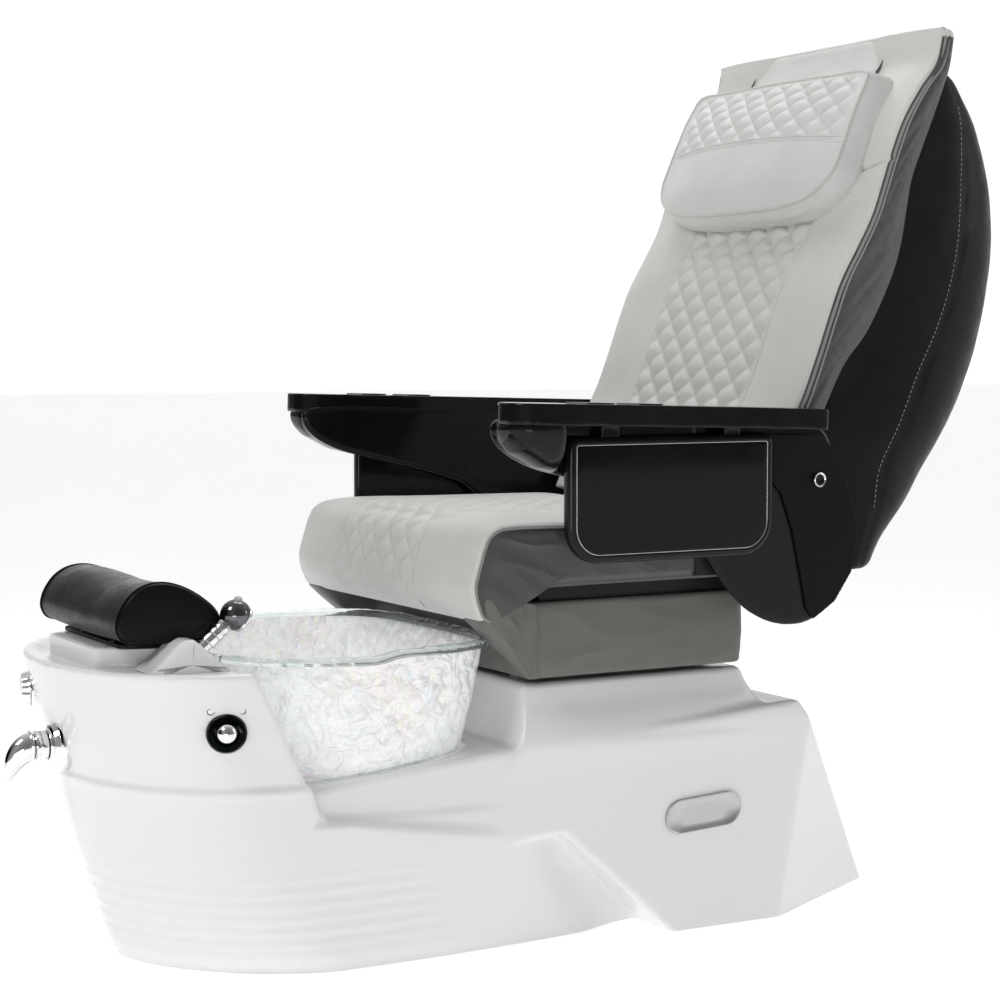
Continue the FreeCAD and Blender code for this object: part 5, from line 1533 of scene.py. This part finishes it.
def make_pillow():
    loop = spline(PILLOW_OUTLINE + [(-x, v) for x, v in PILLOW_OUTLINE[-2:0:-1]], 440, closed=True)
    inward = -normals_2d(loop)
    centre = np.array([0.0, 0.135])
    lean = math.radians(23.3)
    along = np.array([math.sin(lean), math.cos(lean)])
    out = np.array([-math.cos(lean), math.sin(lean)])

    def place(xv, depth):
        y = 0.494 + along[0] * xv[:, 1] + out[0] * depth
        z = 1.133 + along[1] * xv[:, 1] + out[1] * depth
        return np.column_stack([xv[:, 0], y, z])

    def edge_depth(xv):
        """How far the front seam stands off the backrest."""
        return 0.04 + 0.003 * (1 - (xv[:, 0] / 0.27) ** 2) - 0.006 * smoothstep(0.18, 0.26, xv[:, 1])

    rings = []
    floor = -0.03 * smoothstep(0.12, 0.27, np.abs(loop[:, 0])) - 0.012 - 0.03 * smoothstep(0.15, 0.26,
                                                                                           loop[:, 1])
    for t in np.linspace(0, 1, 18):
        depth = floor + (edge_depth(loop) - floor) * t
        outward = 0.005 * math.sin(math.pi * t) ** 0.7 - 0.0065 * t ** 3
        fold = np.array([noise.noise(Vector((x * 13, v * 13, t * 3))) for x, v in loop])
        xv = loop - inward * (outward + 0.0022 * (1 - np.abs(fold)) ** 5 * math.sin(math.pi * t))[:, None]
        rings.append(place(xv, depth))
    seam_ring = None
    inset = loop + inward * 0.0065
    shares = 1 - np.concatenate([[0.0, 0.006, 0.014, 0.026], np.linspace(0.04, 0.985, 70)])
    for share in shares:
        xv = centre + (inset - centre) * share
        x, v = xv[:, 0], xv[:, 1]
        edge = 1 - share
        belly = (0.026 - 0.009 * smoothstep(0.12, 0.25, v)) * (1 - np.clip(np.abs(x) / 0.275, 0,
                                                                           1) ** 2.4) ** 0.9
        lift = belly * (1 - share ** 4.0) ** 0.8 * smoothstep(-0.002, 0.055, v) ** 0.5
        lift = lift * (1 - 0.55 * smoothstep(0.19, 0.27, v))
        live = smoothstep(0.01, 0.035, edge * 0.25)
        upper = smoothstep(PILLOW_SEAM, PILLOW_SEAM + 0.003, v)
        cells = quilt(x, v - PILLOW_SEAM, *PILLOW_CELL) * 0.0092 - 0.005
        near_seam = 1 - dimple(v - PILLOW_SEAM, 0.011)
        lift = lift + upper * cells * near_seam * live
        lift = lift - 0.004 * dimple(v - PILLOW_SEAM, 0.0038) * live
        slack = np.array([noise.noise(Vector((a * 6, b * 14, 4.0))) for a, b in zip(x, v)]) * 0.002
        lift = lift + (1 - upper) * live * slack
        rings.append(place(xv, edge_depth(xv) + lift))
        if seam_ring is None:
            seam_ring = rings[-1]
    pillow = loft("pillow_leather", np.array(rings), M["leather_pillow"])
    dress(pillow, "back", "pillow")
    mesh = bmesh.new()
    mesh.from_mesh(pillow.data)
    tree = BVHTree.FromBMesh(mesh)
    mesh.free()
    direction = Vector((0, out[0], out[1]))

    def on_face(xv, lift=-0.0003):
        line = []
        for x, v in xv:
            start = Vector(place(np.array([[x, v]]), np.array([0.15]))[0])
            hit = tree.ray_cast(start, -direction)
            if hit[0] is not None:
                line.append(np.array(hit[0] + direction * lift))
        return line

    welt = seam_ring + np.array(direction) * 0.0004
    dress(tube("pillow_welt", welt, 0.0024, M["leather_welt_light"], 10, closed=True), "back")
    xv = loop + inward * 0.018
    line = on_face([tuple(p) for p in xv], -0.0004)
    dress(stitches("pillow_edge_thread", [line + line[:1]], M["thread"], 0.005, 0.0038, 0.0005), "back")
    paths = []
    for v, u in quilt_lines(*PILLOW_CELL, -0.242, 0.242, 0.002, 0.122, 0.004):
        inside = np.abs(u) < 0.24
        path = on_face(list(zip(u[inside], v[inside] + PILLOW_SEAM)))
        if len(path) > 3:
            paths.append(path)
    dress(stitches("pillow_quilt_thread", paths, M["thread"], 0.005, 0.0038, 0.0005), "back")
    rows = []
    for offset in (-0.0055, 0.005):
        rows.append(on_face([(x, PILLOW_SEAM + offset) for x in np.linspace(-0.252, 0.252, 150)]))
    dress(stitches("pillow_seam_thread", rows, M["thread_grey"], 0.0056, 0.0042, 0.0006), "back")

    half = 0.185
    line = spline([(0.59, 1.35), (0.608, 1.368), (0.627, 1.388), (0.643, 1.41), (0.653, 1.43),
                   (0.66, 1.448),
                   (0.668, 1.4535), (0.68, 1.4535), (0.689, 1.446), (0.692, 1.428), (0.69, 1.39)], 90)
    tangent = np.gradient(line, axis=0)
    tangent /= np.linalg.norm(tangent, axis=1)[:, None]
    up = np.column_stack([-tangent[:, 1], tangent[:, 0]])
    across = np.concatenate([[-half], np.linspace(-half + 0.001, half - 0.001, 60), [half]])
    rings = []
    for k in range(len(line)):
        ring = []
        for x in across:
            t = abs(x) / half
            lift = 0.0035 * (1 - t ** 8) + 0.0014 * noise.noise(Vector((x * 18, k * 0.1, 2.0))) * (1 - t)
            lift -= 0.0016 * math.exp(-((half - 0.009 - abs(x)) / 0.0028) ** 2)
            ring.append((x, line[k][0] + up[k][0] * lift, line[k][1] + up[k][1] * lift))
        for x in across[::-1]:
            ring.append((x, line[k][0] - up[k][0] * 0.0035, line[k][1] - up[k][1] * 0.0035))
        rings.append(ring)
    strap = loft("pillow_strap", rings, M["leather_pillow"])
    dress(strap, "back")
    for sign, name in SIDES:
        edge = np.column_stack([np.full(len(line), sign * (half + 0.0004)), line[:, 0] + up[:, 0] * 0.0008,
                                line[:, 1] + up[:, 1] * 0.0008])
        dress(tube(f"strap_edge_{name}", edge, 0.0018, M["piping"], 8), "back")
        inner = np.column_stack([np.full(len(line), sign * (half - 0.009)), line[:, 0] + up[:, 0] * 0.002,
                                 line[:, 1] + up[:, 1] * 0.002])
        dress(stitches(f"strap_thread_{name}", [inner], M["thread"], 0.0052, 0.004, 0.0005), "back")


make_pillow()


# ------------------------------------------------------------------ rear shell of the back

SHELL_LEVELS = [0.56, 0.6, 0.66, 0.72, 0.8, 0.88, 0.955, 1.04, 1.11, 1.19, 1.26, 1.31, 1.345, 1.37, 1.385]
SHELL_SIDE = [0.455, 0.452, 0.43, 0.4, 0.425, 0.455, 0.508, 0.557, 0.58, 0.597, 0.622, 0.642, 0.656, 0.666,
              0.672]
SHELL_BACK = [0.588, 0.619, 0.686, 0.734, 0.793, 0.836, 0.859, 0.871, 0.873, 0.861, 0.833, 0.8, 0.763,
              0.728, 0.698]


def make_shell():
    count = 240
    levels = np.concatenate([[0.56, 0.5615, 0.565], np.linspace(0.57, 1.375, 150), [1.38, 1.3835, 1.385]])
    n = 4.0
    angles = np.linspace(0, math.pi, count // 2)
    rings = []
    for z in levels:
        side = float(through(z, SHELL_LEVELS, SHELL_SIDE))
        rear = float(through(z, SHELL_LEVELS, SHELL_BACK))
        low = max(0.0, (0.572 - z) / 0.012)
        high = max(0.0, (z - 1.366) / 0.019)
        tuck = 0.01 * round_off(low) + 0.016 * round_off(high)
        half = 0.302 - 0.01 * float(smoothstep(0.8, 0.6, z)) - tuck * 0.5
        ring = []
        for a in angles:
            c, s = math.cos(a), math.sin(a)
            x = half * math.copysign(abs(c) ** (2 / n), c)
            y = side + (rear - tuck - side) * abs(s) ** (2 / n)
            ring.append((x, y))
        ring = resample(np.array(ring), count // 2)
        depth = (ring[:, 1] - side) / (rear - side)
        groove = 0.0022 * dimple(depth - 0.5, 0.012)
        ring[:, 0] -= np.sign(ring[:, 0]) * groove
        inner = ring[::-1].copy()
        inner[:, 0] *= 0.965
        inner[:, 1] = np.maximum(side + 0.001, inner[:, 1] - 0.012)
        rings.append(np.column_stack([np.vstack([ring, inner]), np.full(2 * len(ring), z)]))
    full = np.array(rings)
    shell = fix_normals(make("shell_leather", full.reshape(-1, 3),
                             grid_faces(len(levels), count, closed_cols=True)
                             + end_strip(0, count) + end_strip((len(levels) - 1) * count, count),
                             M["leather_black"]))
    co = coords(shell)
    ripple = noise_values(co, 5.5, 0.0022) + noise_values(co, 19, 0.0007, 3.0)
    set_coords(shell, co + vertex_normals(shell) * ripple[:, None])
    dress(shell, "back", "back_shell")
    for sign, name in SIDES:
        path = []
        for z in np.linspace(0.66, 1.33, 160):
            side = float(through(z, SHELL_LEVELS, SHELL_SIDE))
            rear = float(through(z, SHELL_LEVELS, SHELL_BACK))
            half = 0.302 - 0.01 * float(smoothstep(0.8, 0.6, z))
            path.append((sign * (half * (1 - 0.46 ** n) ** (1 / n) + 0.0002), side + (rear - side) * 0.46,
                         z))
        dress(stitches(f"shell_thread_{name}", [path], M["thread_grey"], 0.0085, 0.0058, 0.0008), "back")


def end_strip(first, count):
    """Closes one end of a hollow ring whose outer half is followed by its inner half."""
    faces = []
    half = count // 2
    for k in range(half - 1):
        faces.append((first + k, first + k + 1, first + count - 2 - k, first + count - 1 - k))
    return faces


make_shell()


# ------------------------------------------------------------------ arms and trays

def carried(node, name):
    """An editable copy of a CAD node's mesh, in the shared frame."""
    source = frame["nodes"][node]
    data = source.data.copy()
    data.transform(source.matrix_world)
    obj = bpy.data.objects.new(name, data)
    bpy.context.collection.objects.link(obj)
    data.materials.clear()
    return obj


def recast(node, name, body, material, voxel, radius, steps):
    obj = carried(node, name)
    soften(obj, voxel, radius, steps)
    coat(obj.data, material)
    return dress(obj, body, node)


ARM_SIDE = [(-0.202, 0.816), (0.2, 0.808), (0.39, 0.801), (0.406, 0.796), (0.426, 0.765), (0.45, 0.715),
            (0.469, 0.664), (0.475, 0.616), (0.462, 0.56), (0.428, 0.512), (0.376, 0.484), (0.32, 0.484),
            (0.262, 0.508), (0.214, 0.552), (0.176, 0.604), (0.148, 0.648), (0.108, 0.681), (0.04, 0.702),
            (-0.06, 0.726), (-0.14, 0.747), (-0.184, 0.77), (-0.203, 0.792)]


def arm_floor(y):
    """Height of the arm's underside."""
    return np.interp(y, [-0.205, -0.198, -0.184, -0.14, -0.06, 0.04, 0.108, 0.14],
                     [0.796, 0.784, 0.77, 0.747, 0.726, 0.702, 0.681, 0.655])


def arm_hull(name):
    """The body below the armrest: full width at its tip, narrow behind the tray."""
    rings = []
    for y in np.concatenate([[-0.2035, -0.2025, -0.2], np.linspace(-0.196, 0.15, 90)]):
        low = float(arm_floor(y))
        tip = round_off(max(0.0, (-0.158 - y) / 0.046))
        outer = 0.423 - 0.074 * float(smoothstep(-0.128, -0.094, y)) - 0.04 * tip
        inner = 0.328 + 0.03 * tip
        ring = [(inner, y, 0.816), (outer, y, 0.816)]
        depth, span = 0.816 - low, outer - inner
        for a in np.linspace(0, math.pi / 2, 22):
            ring.append((inner + span * (0.3 + 0.7 * math.cos(a) ** 0.75) if a < 1.57 else inner + span * 0.3, y,
                         0.816 - depth * (0.1 + 0.9 * math.sin(a) ** 0.85)))
        for a in np.linspace(0, math.pi / 2, 10):
            ring.append((inner + span * 0.3 * (1 - math.sin(a)), y, low + 0.012 * (1 - math.cos(a))))
        rings.append(ring)
    return loft(name, rings, None)


def tray_piece(sign, side):
    """Bezel with rolled edges round a dark glass inset, with a bright line between."""
    body = f"tray_{side}"
    low_x, high_x, front, rear, top, bottom = 0.3525, 0.3735, -0.0915, 0.2835, 0.7925, 0.6005
    outline = []
    for cy, cz, radius, first in ((rear - 0.017, top - 0.017, 0.017, 0),
                                  (front + 0.017, top - 0.017, 0.017, 90),
                                  (front + 0.055, bottom + 0.055, 0.055, 180),
                                  (rear - 0.055, bottom + 0.055, 0.055, 270)):
        for k in range(17):
            a = math.radians(first + 90 * k / 16)
            outline.append((cy + radius * math.cos(a), cz + radius * math.sin(a)))
    loop = resample(np.array(outline), 420, closed=True)
    out = normals_2d(loop)

    def ring(inset, x):
        flat = loop - out * inset
        return [(sign * x, y, z) for y, z in flat]

    profile = [(0.01, low_x), (0.0035, low_x + 0.0006), (0.001, low_x + 0.0028), (0.0, low_x + 0.006),
               (0.0, high_x - 0.009), (0.0006, high_x - 0.0062), (0.0022, high_x - 0.0034),
               (0.0046, high_x - 0.0014),
               (0.0078, high_x - 0.0003), (0.0105, high_x), (0.0118, high_x - 0.0003),
               (0.0124, high_x - 0.001),
               (0.0126, high_x - 0.0026), (0.014, high_x - 0.0028)]
    rows = [ring(i, x) for i, x in profile]
    first = np.array(rows[0])
    middle = np.array([sign * low_x, (front + rear) / 2, (top + bottom) / 2])
    start = [list(middle + (first - middle) * share) for share in (0.05, 0.5, 0.9)]
    last = np.array(rows[-1])
    middle = np.array([sign * (high_x - 0.0028), (front + rear) / 2, (top + bottom) / 2])
    end = [list(middle + (last - middle) * share) for share in (0.95, 0.25)]
    room = [box_solid(sign * (low_x - 0.004), sign * (high_x - 0.0035), y - 0.0006, y + 0.0326, 0.7705,
                      0.796)
            for y in (-0.032, 0.192)]
    bezel = loft(f"tray_frame_{side}", start + rows + end, M["piano"])
    for tool in room:
        boolean(bezel, tool)
    bezel.data.polygons.foreach_set("use_smooth", [True] * len(bezel.data.polygons))
    sharpen(bezel, 40)
    dress(bezel, body, f"tray_bezel_{side}")
    inner = [ring(i, x) for i, x in ((0.014, high_x - 0.003), (0.014, high_x - 0.0016),
                                     (0.0146, high_x - 0.0011),
                                     (0.0155, high_x - 0.001))]
    last = np.array(inner[-1])
    middle = np.array([sign * (high_x - 0.001), (front + rear) / 2, (top + bottom) / 2])
    inner += [list(middle + (last - middle) * share) for share in (0.95, 0.25)]
    glass = loft(f"tray_glass_{side}", inner, M["panel"])
    sharpen(glass, 40)
    dress(glass, body, f"tray_panel_{side}")
    trim = tube(f"tray_trim_{side}", ring(0.0132, high_x - 0.0011), 0.0008, M["silver"], 8, closed=True)
    dress(trim, body)


def box_solid(x0, x1, y0, y1, z0, z1):
    return prism([(y0, z0), (y1, z0), (y1, z1), (y0, z1)], min(x0, x1), max(x0, x1))


def flipped(obj):
    co = coords(obj)
    co[:, 0] *= -1
    set_coords(obj, co)
    return fix_normals(obj)


def make_arms():
    for sign, side in SIDES:
        body = f"arm_{side}"
        plate = prism(spline(ARM_SIDE, 260, closed=True), 0.328, 0.3412)
        boolean(plate, arm_hull("hull"), "UNION")
        pin = lathe("pin", [(0, -0.02), (0.0122, -0.02), (0.0122, 0.05), (0, 0.05)], (0.322, 0.39, 0.714),
                    (1, 0, 0), None, 48)
        boolean(plate, pin)
        plate.name = f"arm_shell_{side}"
        soften(plate, 0.003, 0.013, 20)
        if sign < 0:
            flipped(plate)
        coat(plate.data, M["piano"])
        dress(plate, body, f"arm_body_{side}")
        recast(f"arm_cover_{side}", f"arm_skin_{side}", body, M["cover"], 0.0018, 0.004, 6)
        slab = recast(f"arm_top_{side}", f"arm_slab_{side}", body, M["piano"], 0.0028, 0.0075, 16)
        co = coords(slab)
        late = co[:, 1] > 0.2
        co[late, 1] = 0.2 + (co[late, 1] - 0.2) * (1 - 0.19 * np.clip((np.abs(co[late, 0]) - 0.33) / 0.08,
                                                                      0, 1))
        set_coords(slab, co)
        recast(f"arm_top_pad_{side}", f"arm_rest_{side}", body, M["pad_black"], 0.0026, 0.006, 14)
        centre = frame["nodes"][f"arm_pivot_cap_{side}"]
        box = [centre.matrix_world @ Vector(corner) for corner in centre.bound_box]
        mid = sum(box, Vector()) / 8
        outer = max(abs(p.x) for p in box)
        spot = Vector((sign * outer, mid.y, mid.z))
        ring = lathe("ring", [(0.0088, 0.0012), (0.0098, 0.0022), (0.0108, 0.0024), (0.0116, 0.0018),
                              (0.012, 0.0004),
                              (0.012, -0.006)], spot, (sign, 0, 0), M["chrome"], 64)
        disc = lathe("disc", [(0, 0.0004), (0.006, 0.0004), (0.008, 0.0008), (0.0092, 0.0014),
                              (0.0098, -0.004)], spot,
                     (sign, 0, 0), M["piano"], 64)
        dress(joined(f"arm_button_{side}", [ring, disc]), body, f"arm_pivot_cap_{side}")
        tray_piece(sign, side)


make_arms()


# ------------------------------------------------------------------ stage

def make_stage():
    floor = make("floor", [(-40, -12, 0), (12, -12, 0), (12, 40, 0), (-40, 40, 0)], [(0, 1, 2, 3)], None)
    s = Shader("floor_paint", Roughness=0.7, Emission_Color=(1, 1, 1, 1), Emission_Strength=0.5)
    broad = s.noise(1.4, 2.0)
    s.link(s.mix(s.spread(broad, 0.3, 0.7), (0.9, 0.9, 0.9), (0.92, 0.92, 0.92)), "Base Color")
    floor.data.materials.append(s.mat)

    world = bpy.data.worlds.new("studio")
    bpy.context.scene.world = world
    world.use_nodes = True
    tree = world.node_tree
    back = tree.nodes["Background"]
    where = tree.nodes.new("ShaderNodeTexCoord")
    split = tree.nodes.new("ShaderNodeSeparateXYZ")
    tree.links.new(where.outputs["Generated"], split.inputs[0])

    def ranged(value, low, high, to_low, to_high):
        item = tree.nodes.new("ShaderNodeMapRange")
        for key, number in zip(("From Min", "From Max", "To Min", "To Max"), (low, high, to_low, to_high)):
            item.inputs[key].default_value = number
        tree.links.new(value, item.inputs["Value"])
        return item.outputs[0]

    def times(first, second):
        item = tree.nodes.new("ShaderNodeMath")
        item.operation = "MULTIPLY"
        tree.links.new(first, item.inputs[0])
        tree.links.new(second, item.inputs[1])
        return item.outputs[0]

    toward = tree.nodes.new("ShaderNodeVectorMath")
    toward.operation = "DOT_PRODUCT"
    toward.inputs[1].default_value = (-0.5, -0.866, 0.0)
    tree.links.new(where.outputs["Generated"], toward.inputs[0])
    height = ranged(split.outputs[2], -0.2, 1.0, 1.1, 0.62)
    side = ranged(split.outputs[0], -0.6, 0.9, 1.1, 0.2)
    dark_sector = ranged(toward.outputs["Value"], 0.3, 0.88, 1.0, 0.0)
    tree.links.new(times(times(height, side), dark_sector), back.inputs["Strength"])
    back.inputs["Color"].default_value = (1.0, 1.0, 1.0, 1)

    def softbox(name, place, target, size, power):
        data = bpy.data.lights.new(name, "AREA")
        data.shape = "RECTANGLE"
        data.size, data.size_y = size
        data.energy = power
        lamp = bpy.data.objects.new(name, data)
        lamp.location = place
        lamp.rotation_euler = (Vector(target) - Vector(place)).to_track_quat("-Z", "Y").to_euler()
        bpy.context.collection.objects.link(lamp)

    softbox("key", (0.5, -3.0, 3.4), (0, 0.1, 0.8), (1.3, 1.3), 46)
    softbox("side", (3.6, -2.6, 0.35), (0.2, -0.2, 0.25), (1.6, 0.5), 12)
    softbox("top", (-0.9, 0.6, 3.3), (0, 0, 0.4), (1.8, 1.8), 26)
    softbox("rim", (1.6, 3.2, 2.2), (0, 0.3, 0.8), (1.0, 2.4), 22)

    camera = bpy.data.cameras.new("camera")
    camera.lens = 80.15
    camera.sensor_width = 36
    eye = bpy.data.objects.new("camera", camera)
    turn, pitch = math.radians(60.6217), math.radians(3.916)
    ahead = Vector((-math.sin(turn) * math.cos(pitch), math.cos(turn) * math.cos(pitch), -math.sin(pitch)))
    eye.location = (3.19826, -1.80053, 0.92481)
    eye.rotation_euler = ahead.to_track_quat("-Z", "Y").to_euler()
    bpy.context.collection.objects.link(eye)
    bpy.context.scene.camera = eye
    bpy.context.scene.view_settings.view_transform = "Standard"


make_stage()
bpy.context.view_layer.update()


def rest_on_floor():
    """Mesh points of pieces at the origin that lie below the floor are lifted to it."""
    for obj in list(bpy.data.objects):
        if obj.type != "MESH" or obj.name in frame["nodes"] or obj.name == "floor" or obj.library:
            continue
        co = coords(obj)
        if len(co) and co[:, 2].min() < 0 and tuple(obj.location) == (0, 0, 0):
            co[:, 2] = np.maximum(co[:, 2], 0.0)
            set_coords(obj, co)


rest_on_floor()
